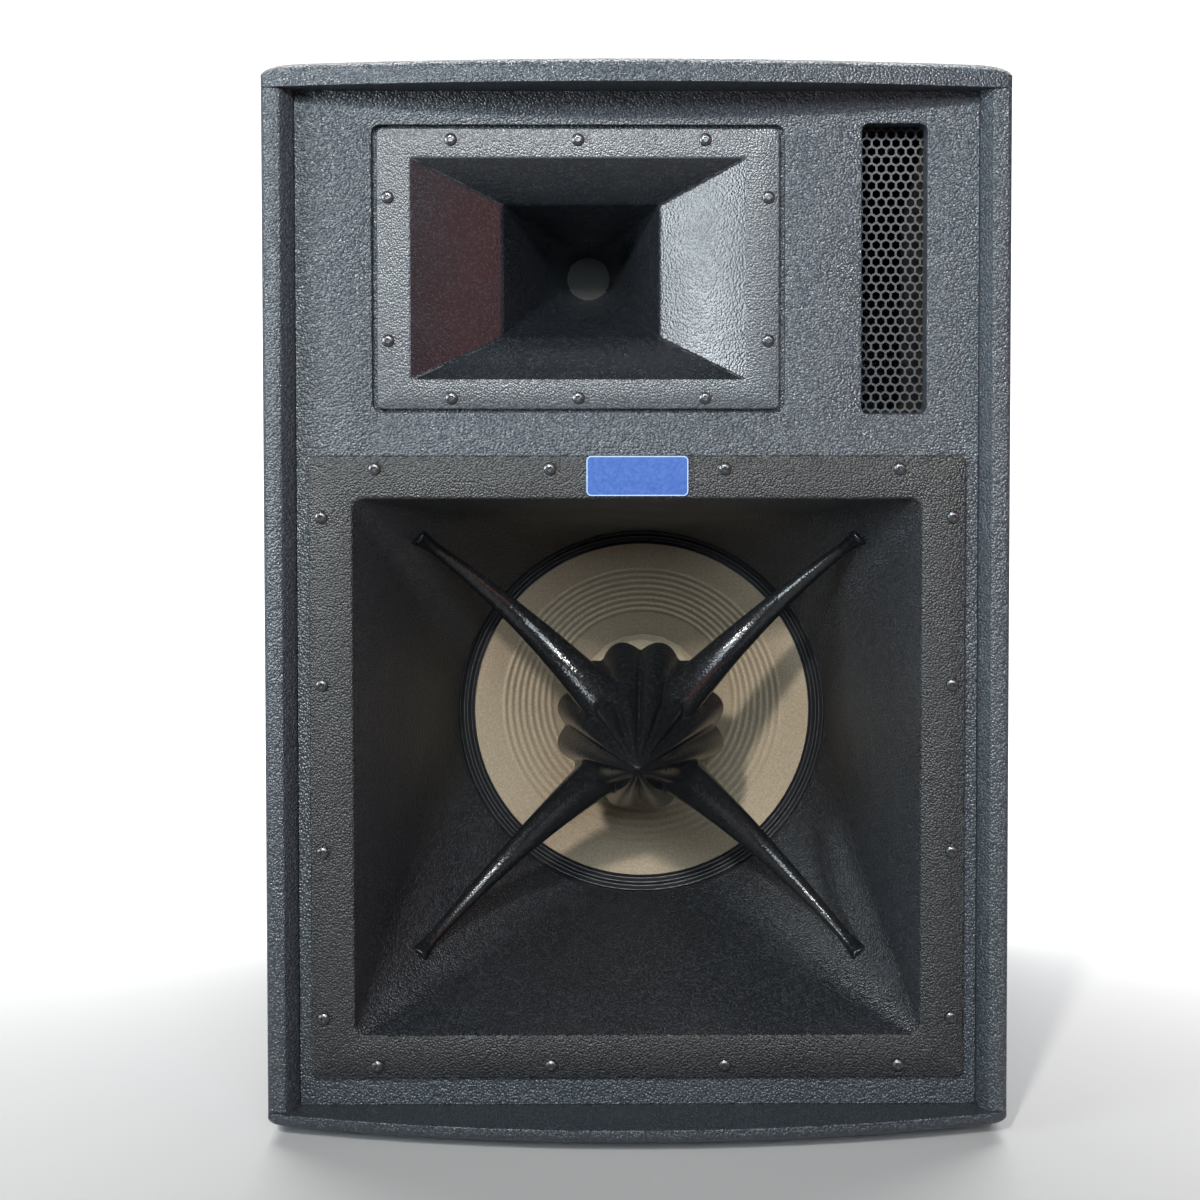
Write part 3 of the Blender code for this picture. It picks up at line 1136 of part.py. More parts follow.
DRIVER_FRAME = make_frame("woofer_driver_frame", (0.0, 0.0, -HORN_DEPTH), (0.0, 0.0, 0.0), WOOFER_FRAME)
make_basket(DRIVER_FRAME)
make_cone(DRIVER_FRAME)
make_surround(DRIVER_FRAME)
make_dust_cap(DRIVER_FRAME)
make_voice_coil(DRIVER_FRAME)
make_spider(DRIVER_FRAME)
make_magnet_system(DRIVER_FRAME)

HF_FRAME = make_frame("hf_frame", (HF_CENTRE_X, BAFFLE_FRONT_Y, HF_Z), FACE_FRONT)
make_hf_horn(HF_FRAME, BAFFLE)
HF_DRIVER_FRAME = make_frame("hf_driver_frame", (0.0, 0.0, -HF_DEPTH), (0.0, 0.0, 0.0), HF_FRAME)
make_compression_driver(HF_DRIVER_FRAME)

make_port()
make_connector_cup(make_frame("cup_frame", (0.0, REAR_Y, CUP_Z), FACE_REAR))
make_crossover(make_frame("board_frame", (BOARD_CENTRE_X, REAR_INNER_Y, BOARD_Z), FACE_FRONT))
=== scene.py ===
# %% [markdown]
# # A stage speaker cabinet, dressed over its solid frame
# The solid frame holds every piece of the cabinet at its true size, in metres, with the front facing -Y.
# This lesson makes each piece that can be seen again as a finer mesh, gives it paint, paper or metal, and
# lights it like the photo. Pieces sealed inside the box keep their solid shapes and only get a finish.

# %% Load the solid frame
import math

import bmesh
import bpy
from mathutils import Matrix, Vector
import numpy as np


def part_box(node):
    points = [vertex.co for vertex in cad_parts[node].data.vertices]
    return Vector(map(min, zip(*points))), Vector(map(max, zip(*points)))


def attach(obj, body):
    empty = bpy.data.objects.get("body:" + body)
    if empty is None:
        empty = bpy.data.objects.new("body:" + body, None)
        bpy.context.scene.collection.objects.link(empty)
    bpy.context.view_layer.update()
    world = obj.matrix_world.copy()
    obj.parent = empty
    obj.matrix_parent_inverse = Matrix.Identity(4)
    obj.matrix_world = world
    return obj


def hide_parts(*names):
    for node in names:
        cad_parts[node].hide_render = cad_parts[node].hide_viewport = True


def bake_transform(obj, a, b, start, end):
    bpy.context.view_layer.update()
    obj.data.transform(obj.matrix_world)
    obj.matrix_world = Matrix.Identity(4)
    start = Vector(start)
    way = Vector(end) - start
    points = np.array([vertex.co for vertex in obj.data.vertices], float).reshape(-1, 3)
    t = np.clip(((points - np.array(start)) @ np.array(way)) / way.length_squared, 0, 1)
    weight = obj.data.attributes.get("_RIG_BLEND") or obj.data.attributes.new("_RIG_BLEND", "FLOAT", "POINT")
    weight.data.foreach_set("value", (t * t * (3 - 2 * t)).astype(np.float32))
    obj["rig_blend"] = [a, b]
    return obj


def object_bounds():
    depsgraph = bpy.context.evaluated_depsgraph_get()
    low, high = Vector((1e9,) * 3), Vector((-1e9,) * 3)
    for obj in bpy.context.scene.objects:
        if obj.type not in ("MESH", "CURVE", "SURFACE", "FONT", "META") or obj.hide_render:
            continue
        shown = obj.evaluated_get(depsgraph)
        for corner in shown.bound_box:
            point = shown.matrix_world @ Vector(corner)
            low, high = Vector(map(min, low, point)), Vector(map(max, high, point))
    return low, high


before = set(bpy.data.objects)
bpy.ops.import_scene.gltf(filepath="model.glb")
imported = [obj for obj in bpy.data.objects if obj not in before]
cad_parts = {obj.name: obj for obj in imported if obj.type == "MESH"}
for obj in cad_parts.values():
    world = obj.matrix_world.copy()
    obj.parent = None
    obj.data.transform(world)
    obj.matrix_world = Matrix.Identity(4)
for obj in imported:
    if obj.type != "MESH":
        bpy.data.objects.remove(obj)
FRAME_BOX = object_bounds()
print(f"{len(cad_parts)} nodes, {FRAME_BOX[1][2] - FRAME_BOX[0][2]:.4f} m tall")

# %% [markdown]
# ## Working measures
# Reading sizes keeps the fine pieces in step with the solids. A few shapes, such as the corner radius of
# the horn mouth, can't be read from a box, so they are named here once.

# %% Read the main sizes from the frame
SMALL_STEPS = 10
ROUND_STEPS = 128


def box_middle(node):
    """Centre of a node's box."""
    low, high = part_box(node)
    return (low + high) / 2


CABINET_HIGH = FRAME_BOX[1]
SIDE_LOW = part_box("left_side_panel")[0]
BAFFLE_LOW, BAFFLE_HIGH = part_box("front_baffle")
REAR_LOW, REAR_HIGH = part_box("rear_panel")
BOW_FRONT_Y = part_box("top_panel")[0].y
WOOFER_AXIS = box_middle("woofer_horn")
HF_AXIS = box_middle("hf_horn")
WOOFER_HORN_LOW, WOOFER_HORN_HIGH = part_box("woofer_horn")
HF_HORN_LOW, HF_HORN_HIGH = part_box("hf_horn")
HORN_BORDER = (0.02725, 0.0268)
HF_BORDER = (0.0203, 0.0181)
FLANGE_RADIUS = 0.004
HORN_MOUTH_RADIUS = 0.007
HF_MOUTH_RADIUS = 0.0015
HORN_FLANGE = (WOOFER_HORN_HIGH.x - WOOFER_HORN_LOW.x, WOOFER_HORN_HIGH.z - WOOFER_HORN_LOW.z,
               FLANGE_RADIUS)
HORN_MOUTH = (HORN_FLANGE[0] - 2 * HORN_BORDER[0], HORN_FLANGE[1] - 2 * HORN_BORDER[1],
              HORN_MOUTH_RADIUS)
HF_FLANGE = (HF_HORN_HIGH.x - HF_HORN_LOW.x, HF_HORN_HIGH.z - HF_HORN_LOW.z, FLANGE_RADIUS)
HF_MOUTH = (HF_FLANGE[0] - 2 * HF_BORDER[0], HF_FLANGE[1] - 2 * HF_BORDER[1], HF_MOUTH_RADIUS)
print(f"woofer centre {WOOFER_AXIS.z:.4f} m up, high-frequency horn centre {HF_AXIS.z:.4f} m up")

# %% [markdown]
# ## Sections that loft into walls
# Most of the cabinet is a row of rounded sections, one behind another. The first section is drawn as a closed
# loop of edges. The extrude operator then pulls a new loop out of the last one, and its points move to the
# next section. Bridging two finished loops is quicker to write, but it pairs each point with the nearest
# one and twists a wall that runs from a rectangle to a circle.

# %% Functions for sections, walls and finished pieces
def close_ring(bm, ring):
    """The edges that join a ring of points, made where they are missing."""
    pairs = zip(ring, ring[1:] + ring[:1])
    return [bm.edges.get(pair) or bm.edges.new(pair) for pair in pairs]


def loft(bm, *sections):
    """Walls through a row of sections, each a list of points. Gives back every section's loop of edges."""
    ring = [bm.verts.new(p) for p in sections[0]]
    loops = [close_ring(bm, ring)]
    for points in sections[1:]:
        made = bmesh.ops.extrude_edge_only(bm, edges=loops[-1])["geom"]
        fresh = {g for g in made if isinstance(g, bmesh.types.BMVert)}
        ring = [next(e.other_vert(v) for e in v.link_edges if e.other_vert(v) in fresh) for v in ring]
        for vert, point in zip(ring, points):
            vert.co = point
        loops.append(close_ring(bm, ring))
    return loops


def rounded_points(width, height, radius, steps=SMALL_STEPS):
    """Points of a rounded rectangle about the origin, as (across, up)."""
    points = []
    for turn in range(4):
        side = (1, -1, -1, 1)[turn]
        rise = (1, 1, -1, -1)[turn]
        for i in range(steps):
            angle = math.radians(90) * (turn + (i + 0.5) / steps)
            across = side * (width / 2 - radius) + radius * math.cos(angle)
            up = rise * (height / 2 - radius) + radius * math.sin(angle)
            points.append((across, up))
    return points


def grown(section, wall):
    """A rounded rectangle, given as width, height and radius, grown by a wall on every side."""
    width, height, radius = section
    return width + 2 * wall, height + 2 * wall, radius + wall / 2


def upright(width, height, radius, centre, y, steps=SMALL_STEPS):
    """A rounded rectangle that stands upright at depth y, facing along Y."""
    points = rounded_points(width, height, radius, steps)
    return [(centre.x + across, y, centre.z + up) for across, up in points]


def disc(radius):
    """A circle as a rounded rectangle, so it has as many points as one."""
    return 2 * radius, 2 * radius, radius


def stack(centre, *steps):
    """Upright sections about one centre, each given as a shape and a depth."""
    return [upright(*shape, centre, y) for shape, y in steps]


def fill(bm, *loops):
    """A flat face over the loops, with every loop after the first left as a hole."""
    bmesh.ops.triangle_fill(bm, use_beauty=True, use_dissolve=False, edges=sum(loops, []))


def capped_loft(bm, *sections):
    """Walls through a row of sections, with the first and the last one filled."""
    loops = loft(bm, *sections)
    fill(bm, loops[0])
    fill(bm, loops[-1])


def soften(bm, edges, width, segments=3):
    """A rounded bevel along the edges."""
    live = [e for e in edges if e.is_valid]
    bmesh.ops.bevel(bm, geom=live, offset=width, offset_type="OFFSET", segments=segments,
                    profile=0.5, affect="EDGES", material=-1, clamp_overlap=True)


def mesh_object(name, bm, finish):
    """Turns a bmesh into a smooth object with its finish."""
    bmesh.ops.recalc_face_normals(bm, faces=bm.faces)
    mesh = bpy.data.meshes.new(name)
    bm.to_mesh(mesh)
    bm.free()
    mesh.shade_smooth()
    mesh.materials.append(finish)
    obj = bpy.data.objects.new(name, mesh)
    bpy.context.scene.collection.objects.link(obj)
    return obj


def finish_piece(name, bm, finish, nodes=(), body="cabinet", smooth=40):
    """An object that rides on a body and stands for its solid nodes. Smooth is an angle in degrees."""
    bmesh.ops.remove_doubles(bm, verts=bm.verts, dist=1e-6)
    obj = mesh_object(name, bm, finish)
    obj.data.set_sharp_from_angle(angle=math.radians(smooth))
    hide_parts(*nodes)
    if body:
        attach(obj, body)
    print(f"{name}: {len(obj.data.polygons)} faces")
    return obj


print("section, wall and piece functions are ready")

# %% [markdown]
# ## Camera
# The photo was taken almost straight on with a normal lens, a little above the middle of the cabinet. Its
# vertical edges lean only slightly, so the camera looks down by not quite two degrees. The picture was
# cropped off centre, which the lens shift repeats without turning the camera.

# %% Place the camera
camera_data = bpy.data.cameras.new("photo_camera")
camera_data.sensor_width = 36
camera_data.lens = 53.78
camera_data.shift_x = -0.0649
camera_data.shift_y = -0.1572
camera = bpy.data.objects.new("photo_camera", camera_data)
camera.location = (0.0176, -1.2889, 0.4874)
camera.rotation_euler = (math.radians(88.231), 0, math.radians(-0.384))
bpy.context.scene.collection.objects.link(camera)
bpy.context.scene.camera = camera
print(f"camera {-camera.location.y:.2f} m in front of the middle")

# %% [markdown]
# ## Studio
# The floor and the backdrop are one sheet, folded up at the back with a wide bend so no line shows behind
# the cabinet. The small key panel throws the shadows of the lip and the plug. A wide window behind the camera
# gives the paint its glare, which fades downward. A side window lights the small horn's right wall, a warm
# panel tints its left wall, and one panel behind the cabinet whitens the backdrop.

# %% Build the backdrop and the lights
BACKDROP_REACH = 4
BACKDROP_HEIGHT = 5
BACKDROP_BEND = 1.5


def plain_material(name, colour, roughness):
    """A one-colour material."""
    material = bpy.data.materials.new(name)
    material.use_nodes = True
    shader = material.node_tree.nodes["Principled BSDF"]
    shader.inputs["Base Color"].default_value = (*colour, 1)
    shader.inputs["Roughness"].default_value = roughness
    return material


def make_backdrop():
    """A floor sheet that bends up into a back wall."""
    bm = bmesh.new()
    bmesh.ops.create_grid(bm, x_segments=1, y_segments=1, size=BACKDROP_REACH)
    rear = [e for e in bm.edges if all(v.co.y > 0 for v in e.verts)]
    wall = bmesh.ops.extrude_edge_only(bm, edges=rear)["geom"]
    for vert in [g for g in wall if isinstance(g, bmesh.types.BMVert)]:
        vert.co.z += BACKDROP_HEIGHT
    soften(bm, rear, BACKDROP_BEND, 16)
    obj = mesh_object("backdrop", bm, plain_material("backdrop_paper", (0.36, 0.36, 0.36), 0.9))


def soft_panel(name, place, target, size, watts, colour, spread=180):
    """An area light at a place, facing a target. A small spread, in degrees, narrows its beam."""
    data = bpy.data.lights.new(name, "AREA")
    data.shape = "RECTANGLE"
    data.size, data.size_y = size
    data.energy = watts
    data.spread = math.radians(spread)
    data.color = colour
    obj = bpy.data.objects.new(name, data)
    obj.location = place
    obj.rotation_euler = (Vector(target) - Vector(place)).to_track_quat("-Z", "Y").to_euler()
    bpy.context.scene.collection.objects.link(obj)


make_backdrop()
soft_panel("key_panel", (-0.45, -1.9, 1.40), (0, -0.1, 0.60), (0.14, 0.14), 9, (1.0, 0.98, 0.94), 70)
soft_panel("front_window", (0.4, -3.0, 1.6), (0, 0, 0.95), (2.4, 0.9), 21, (0.79, 0.92, 1.0), 70)
soft_panel("side_window", (-1.36, -0.93, 0.66), (0.04, -0.16, 0.54), (0.6, 0.6), 2.6, (0.86, 0.95, 1.0), 50)
soft_panel("warm_panel", (1.3, -0.95, 0.62), (-0.1, -0.16, 0.54), (0.8, 0.8), 3.0, (1.0, 0.30, 0.26))
soft_panel("backdrop_panel", (0, 1.2, 2.6), (0, 3.0, 0.3), (4.0, 1.5), 480, (1.0, 1.0, 1.0))
world = bpy.data.worlds.new("studio")
world.use_nodes = True
world.node_tree.nodes["Background"].inputs["Color"].default_value = (0.9, 0.95, 1.0, 1)
world.node_tree.nodes["Background"].inputs["Strength"].default_value = 0.05
bpy.context.scene.world = world
bpy.context.scene.view_settings.view_transform = "Standard"
print("backdrop, five panels and a dim world")

# %% [markdown]
# ## Shared surface effects
# The whole box is sprayed with a thick paint that dries into small pebbles, and handling wears the paint on
# its edges. Both effects are node groups, so every painted material can reuse them at its own scale. The
# first gives a height for bumps and two masks; one lightens the pebble tops, partly the paint's own speckle
# and partly painted glints. The second is a mask that is bright only along outer edges, partly rubbed paint
# and partly painted highlight lines.

# %% Make the pebble and worn edge groups
def set_inputs(tree, target, inputs):
    """Sets a node's inputs to values or joins them to sockets."""
    for key, value in inputs.items():
        if isinstance(value, bpy.types.NodeSocket):
            tree.links.new(value, target.inputs[key])
        else:
            target.inputs[key].default_value = value


def add_node(tree, kind, inputs=None, **settings):
    """A node with its settings made and its inputs set."""
    made = tree.nodes.new(kind)
    for key, value in settings.items():
        setattr(made, key, value)
    set_inputs(tree, made, inputs or {})
    return made


def remap(tree, value, start, end, to=(0.0, 1.0)):
    """A value moved from the range between start and end into another range."""
    made = add_node(tree, "ShaderNodeMapRange", {"Value": value, "From Min": start, "From Max": end,
                                                 "To Min": to[0], "To Max": to[1]})
    return made.outputs["Result"]


def new_group(name, inputs, outputs):
    """An empty shader group with named inputs and outputs, each given as name: socket type."""
    tree = bpy.data.node_groups.new(name, "ShaderNodeTree")
    for socket, kind in inputs.items():
        tree.interface.new_socket(socket, in_out="INPUT", socket_type=kind)
    for socket, kind in outputs.items():
        tree.interface.new_socket(socket, in_out="OUTPUT", socket_type=kind)
    return tree, tree.nodes.new("NodeGroupInput"), tree.nodes.new("NodeGroupOutput")


def make_pebble_group():
    """Pebbles of paint over a soft orange peel, with slow patches across the panel. The fleck mask lightens
    the pebble tops: partly the paint's speckle, partly painted glints.
    """
    tree, given, result = new_group(
        "pebble_paint", {"Vector": "NodeSocketVector", "Scale": "NodeSocketFloat"},
        {"Height": "NodeSocketFloat", "Fleck_and_glint": "NodeSocketFloat", "Patch": "NodeSocketFloat"})
    vector, scale = given.outputs["Vector"], given.outputs["Scale"]
    wobble = add_node(tree, "ShaderNodeTexNoise", {"Vector": vector, "Scale": scale, "Detail": 2.0})
    cells = add_node(tree, "ShaderNodeTexVoronoi", {"Vector": vector, "Scale": scale})
    mixed = add_node(tree, "ShaderNodeMath", {0: cells.outputs["Distance"], 1: -1.6,
                                              2: wobble.outputs["Fac"]}, operation="MULTIPLY_ADD")
    # Pebble tops are lighter: partly the paint's own speckle, partly painted glints where light would catch.
    tone = add_node(tree, "ShaderNodeSeparateColor", {"Color": cells.outputs["Color"]})
    lit = remap(tree, tone.outputs["Red"], 0.35, 1.0)
    top = remap(tree, cells.outputs["Distance"], 0.75, 0.25)
    fleck_and_glint = add_node(tree, "ShaderNodeMath", {0: lit, 1: top}, operation="MULTIPLY")
    patch = add_node(tree, "ShaderNodeTexNoise", {"Vector": vector, "Scale": 16.0, "Detail": 4.0})
    set_inputs(tree, result, {"Height": mixed.outputs[0], "Fleck_and_glint": fleck_and_glint.outputs[0],
                              "Patch": patch.outputs["Fac"]})
    return tree


def make_edge_group():
    """A mask along edges, broken up by noise so it comes in spots. It marks rubbed paint and painted
    highlight lines alike.
    """
    tree, given, result = new_group(
        "wear_and_glint_edge", {"Vector": "NodeSocketVector", "Reach": "NodeSocketFloat"},
        {"Mask": "NodeSocketFloat"})
    rounded = add_node(tree, "ShaderNodeBevel", {"Radius": given.outputs["Reach"]}, samples=4)
    plain = add_node(tree, "ShaderNodeNewGeometry")
    match = add_node(tree, "ShaderNodeVectorMath", {0: rounded.outputs["Normal"],
                                                    1: plain.outputs["Normal"]}, operation="DOT_PRODUCT")
    turned = remap(tree, match.outputs["Value"], 0.995, 0.90)
    spots = add_node(tree, "ShaderNodeTexNoise", {"Vector": given.outputs["Vector"], "Scale": 160.0,
                                                  "Detail": 3.0})
    broken = remap(tree, spots.outputs["Fac"], 0.44, 0.62)
    mask = add_node(tree, "ShaderNodeMath", {0: turned, 1: broken}, operation="MULTIPLY")
    set_inputs(tree, result, {"Mask": mask.outputs[0]})
    return tree


PEBBLE = make_pebble_group()
WEAR_AND_GLINT_EDGE = make_edge_group()
print(f"groups {PEBBLE.name} and {WEAR_AND_GLINT_EDGE.name}")

# %% [markdown]
# ## Painted surfaces
# The panels, both horns and the plug share one recipe: dark paint, lighter flecks on the pebble tops that are
# partly speckle and partly painted glints, patches where the gloss changes, and lighter edges that are partly
# rubbed paint and partly painted highlight lines. Beside the colours, only the pebble size, the bump and the
# gloss differ. Each horn gets two copies of its moulding's paint, one for the flange face and one for the
# walls, toned to stand in for the light on each: painted glare and painted shade. One function with named
# values makes them all, which is easier to keep alike than six hand-wired materials.

# %% Make the painted materials
def start_material(name):
    """A material with its shader and a socket for object coordinates."""
    material = bpy.data.materials.new(name)
    material.use_nodes = True
    tree = material.node_tree
    place = tree.nodes.new("ShaderNodeTexCoord").outputs["Object"]
    return material, tree, tree.nodes["Principled BSDF"], place


def mix_colour(tree, share, first, second):
    """A colour between two, by a share."""
    mixed = add_node(tree, "ShaderNodeMix", {0: share, 6: first, 7: second}, data_type="RGBA")
    return mixed.outputs[2]


def use_group(tree, group, inputs):
    """A node that holds a shared group."""
    return add_node(tree, "ShaderNodeGroup", inputs, node_tree=group)


def painted(name, dark, pale, pebbles, bump, gloss, wear_and_glint_reach, wear_and_glint_colour=(0.16, 0.165, 0.17, 1), shine=0.5):
    """Pebbled paint. Gloss gives the lowest and highest roughness. The edge colour is partly rubbed paint and
    partly painted highlight lines.
    """
    material, tree, shader, place = start_material(name)
    grain = use_group(tree, PEBBLE, {"Vector": place, "Scale": pebbles})
    edge = use_group(tree, WEAR_AND_GLINT_EDGE, {"Vector": place, "Reach": wear_and_glint_reach})
    coat = mix_colour(tree, grain.outputs["Fleck_and_glint"], (*dark, 1), (*pale, 1))
    # Edges take a lighter colour: partly rubbed paint, partly painted highlight lines.
    worn_and_glint = mix_colour(tree, edge.outputs["Mask"], coat, wear_and_glint_colour)
    rough = remap(tree, grain.outputs["Patch"], 0.3, 0.7, gloss)
    relief = add_node(tree, "ShaderNodeBump", {"Height": grain.outputs["Height"], "Strength": bump,
                                               "Distance": 0.001})
    set_inputs(tree, shader, {"Base Color": worn_and_glint, "Roughness": rough, "Normal": relief.outputs["Normal"],
                              "Specular IOR Level": shine})
    return material


CABINET_PAINT = painted("cabinet_paint", (0.019, 0.024, 0.030), (0.060, 0.071, 0.084), 700, 0.50,
                        (0.30, 0.40), 0.0010, (0.10, 0.105, 0.11, 1))
# Each horn has one moulding with two copies of its paint, toned for the light on each part. The woofer horn's
# flange copy is darker (painted shade) and its walls' copy paler (painted glare).
HORN_FACE_PAINTED_SHADE = painted("horn_flange", (0.0042, 0.0045, 0.0048), (0.020, 0.021, 0.022), 760, 0.45,
                    (0.40, 0.52), 0.0010)
HORN_PAINT_PAINTED_GLARE = painted("horn_moulding", (0.006, 0.007, 0.009), (0.038, 0.045, 0.053), 760, 0.50,
                     (0.32, 0.44), 0.0010)
# The small horn's flange copy is paler (painted glare) and its walls' copy darker (painted shade).
HF_FACE_PAINTED_GLARE = painted("hf_horn_flange", (0.025, 0.029, 0.034), (0.058, 0.065, 0.074), 760, 0.28,
                  (0.32, 0.42), 0.0010)
HF_PAINT_PAINTED_SHADE = painted("hf_horn_moulding", (0.006, 0.007, 0.009), (0.018, 0.021, 0.025), 640, 0.14,
                   (0.20, 0.34), 0.0010)
PLUG_PAINT = painted("plug_moulding", (0.005, 0.0055, 0.006), (0.014, 0.015, 0.017), 600, 0.11,
                     (0.16, 0.26), 0.0010, (0.06, 0.062, 0.065, 1), 0.40)
print("six painted materials")

# %% [markdown]
# ## Paper, cloth, metal and plastic
# The cone is pressed paper, so fine fibres cross it and its tone changes slowly. Cloth has a weave from two
# crossed waves. Metals differ by colour, gloss and a faint brushed noise. Object coordinates drive them
# all, so no picture is needed and nothing slides when a piece moves.

# %% Make the other materials
def speckled(name, dark, pale, scale, bump, gloss, metallic=0.0, stretch=(1, 1, 1)):
    """A material whose colour and height follow one noise, which can be stretched into fibres."""
    material, tree, shader, place = start_material(name)
    scaled = add_node(tree, "ShaderNodeVectorMath", {0: place, 1: stretch}, operation="MULTIPLY")
    noise = add_node(tree, "ShaderNodeTexNoise", {"Vector": scaled.outputs[0], "Scale": scale,
                                                  "Detail": 5.0})
    share = remap(tree, noise.outputs["Fac"], 0.32, 0.68)
    relief = add_node(tree, "ShaderNodeBump", {"Height": share, "Strength": bump, "Distance": 0.0004})
    set_inputs(tree, shader, {"Base Color": mix_colour(tree, share, (*dark, 1), (*pale, 1)),
                              "Roughness": remap(tree, share, 0.0, 1.0, gloss),
                              "Normal": relief.outputs["Normal"], "Metallic": metallic})
    return material


def woven(name, dark, pale, threads, gloss):
    """Cloth with threads across and up. More threads make a finer weave."""
    material, tree, shader, place = start_material(name)
    across, upward = [
        add_node(tree, "ShaderNodeTexWave", {"Vector": place, "Scale": threads, "Distortion": 0.6},
                 bands_direction=direction).outputs["Fac"] for direction in ("X", "Z")]
    weave = add_node(tree, "ShaderNodeMath", {0: across, 1: upward}, operation="MULTIPLY").outputs[0]
    relief = add_node(tree, "ShaderNodeBump", {"Height": weave, "Strength": 0.3, "Distance": 0.0003})
    set_inputs(tree, shader, {"Base Color": mix_colour(tree, weave, (*dark, 1), (*pale, 1)),
                              "Roughness": gloss, "Normal": relief.outputs["Normal"]})
    return material


CONE_PAPER = speckled("cone_paper", (0.178, 0.138, 0.091), (0.258, 0.207, 0.144), 700, 0.25, (0.75, 0.9))
SURROUND_CLOTH = woven("surround_cloth", (0.006, 0.006, 0.007), (0.016, 0.016, 0.017), 260, 0.42)
SPIDER_CLOTH = woven("spider_cloth", (0.38, 0.27, 0.12), (0.52, 0.40, 0.20), 300, 0.85)
BLACK_SCREW = speckled("black_screw", (0.05, 0.05, 0.055), (0.12, 0.12, 0.125), 900, 0.1, (0.24, 0.38), 0.9)
GRILLE_STEEL = speckled("grille_steel", (0.010, 0.010, 0.011), (0.022, 0.022, 0.024), 1400, 0.2,
                        (0.40, 0.55))
DUCT_BOARD = speckled("duct_board", (0.010, 0.009, 0.008), (0.020, 0.018, 0.016), 240, 0.3, (0.8, 0.95))
BADGE_ENAMEL = speckled("badge_enamel", (0.022, 0.060, 0.210), (0.028, 0.072, 0.240), 500, 0.04,
                        (0.30, 0.40))
BADGE_EDGE = speckled("badge_outline", (0.20, 0.28, 0.44), (0.26, 0.34, 0.50), 700, 0.05, (0.35, 0.45))
CAST_FRAME = speckled("cast_frame", (0.020, 0.020, 0.021), (0.040, 0.040, 0.042), 500, 0.3, (0.45, 0.6), 0.4)
FERRITE = speckled("ferrite", (0.030, 0.030, 0.032), (0.055, 0.055, 0.058), 600, 0.2, (0.55, 0.7))
PLATED_STEEL = speckled("plated_steel", (0.42, 0.40, 0.34), (0.56, 0.54, 0.48), 300, 0.05, (0.28, 0.42), 1.0,
                        (1, 8, 1))
COIL_WINDING = speckled("coil_winding", (0.30, 0.12, 0.05), (0.46, 0.20, 0.09), 300, 0.2, (0.35, 0.5), 0.8,
                        (1, 6, 1))
DOME_METAL = speckled("dome_metal", (0.55, 0.55, 0.56), (0.66, 0.66, 0.68), 400, 0.05, (0.22, 0.34), 1.0)
SCREEN_MESH = woven("screen_mesh", (0.010, 0.010, 0.009), (0.030, 0.030, 0.027), 420, 0.95)
BLACK_PLASTIC = speckled("black_plastic", (0.016, 0.016, 0.017), (0.030, 0.030, 0.032), 900, 0.25,
                         (0.4, 0.55))
CIRCUIT_BOARD = speckled("circuit_board", (0.020, 0.085, 0.035), (0.030, 0.115, 0.050), 120, 0.1,
                         (0.35, 0.5))
FOOT_RUBBER = speckled("foot_rubber", (0.012, 0.012, 0.012), (0.026, 0.026, 0.026), 700, 0.3, (0.7, 0.88))
print("seventeen plain materials")

# %% [markdown]
# ## Top and bottom panels
# Both end panels share one plan: straight sides and back, and a front that bows forward. A panel could be an
# extruded plate with a bevel, but here the front corners grow rounder as the edge rolls over, which a plain
# bevel can't do. So a stack of outlines is lofted, each one a little further in and a little rounder.

# %% Build the bowed end panels
BOW = SIDE_LOW.y - BOW_FRONT_Y
LOWER_CORNER = 0.003
TOP_CORNER_GROWTH = 0.018
BOTTOM_CORNER_GROWTH = 0.006
REAR_CORNER = 0.004
TOP_ROUND_OVER = 0.0067
BOTTOM_ROUND_OVER = 0.0055
INNER_EDGE_SOFTENING = 0.0003
CORNER_STEPS = 8
BOW_STEPS = 40
EDGE_STEPS = 6


def bend_points(start, corner, end, steps):
    """Points of a curve from start to end, drawn towards a corner."""
    points = []
    for i in range(steps):
        t = (i + 0.5) / steps
        points.append(start * (1 - t) ** 2 + corner * 2 * t * (1 - t) + end * t ** 2)
    return points


def plan_section(inset, corner, z):
    """The end panel's plan outline, moved in by an inset, at height z."""
    half = CABINET_HIGH.x - inset
    back = CABINET_HIGH.y - inset

    def front(x):
        return SIDE_LOW.y + inset - BOW * (1 - (x / half) ** 2)

    reach = half - corner
    right = bend_points(Vector((half, front(half) + corner)), Vector((half, front(half))),
                        Vector((reach, front(reach))), CORNER_STEPS)
    bow = []
    for i in range(BOW_STEPS):
        x = reach * (1 - 2 * (i + 0.5) / BOW_STEPS)
        bow.append(Vector((x, front(x))))
    left = [Vector((-p.x, p.y)) for p in reversed(right)]
    rear = bend_points(Vector((-half, back - REAR_CORNER)), Vector((-half, back)),
                       Vector((-half + REAR_CORNER, back)), CORNER_STEPS)
    rear += [Vector((-p.x, p.y)) for p in reversed(rear)]
    return [(p.x, p.y, z) for p in right + bow + left + rear]


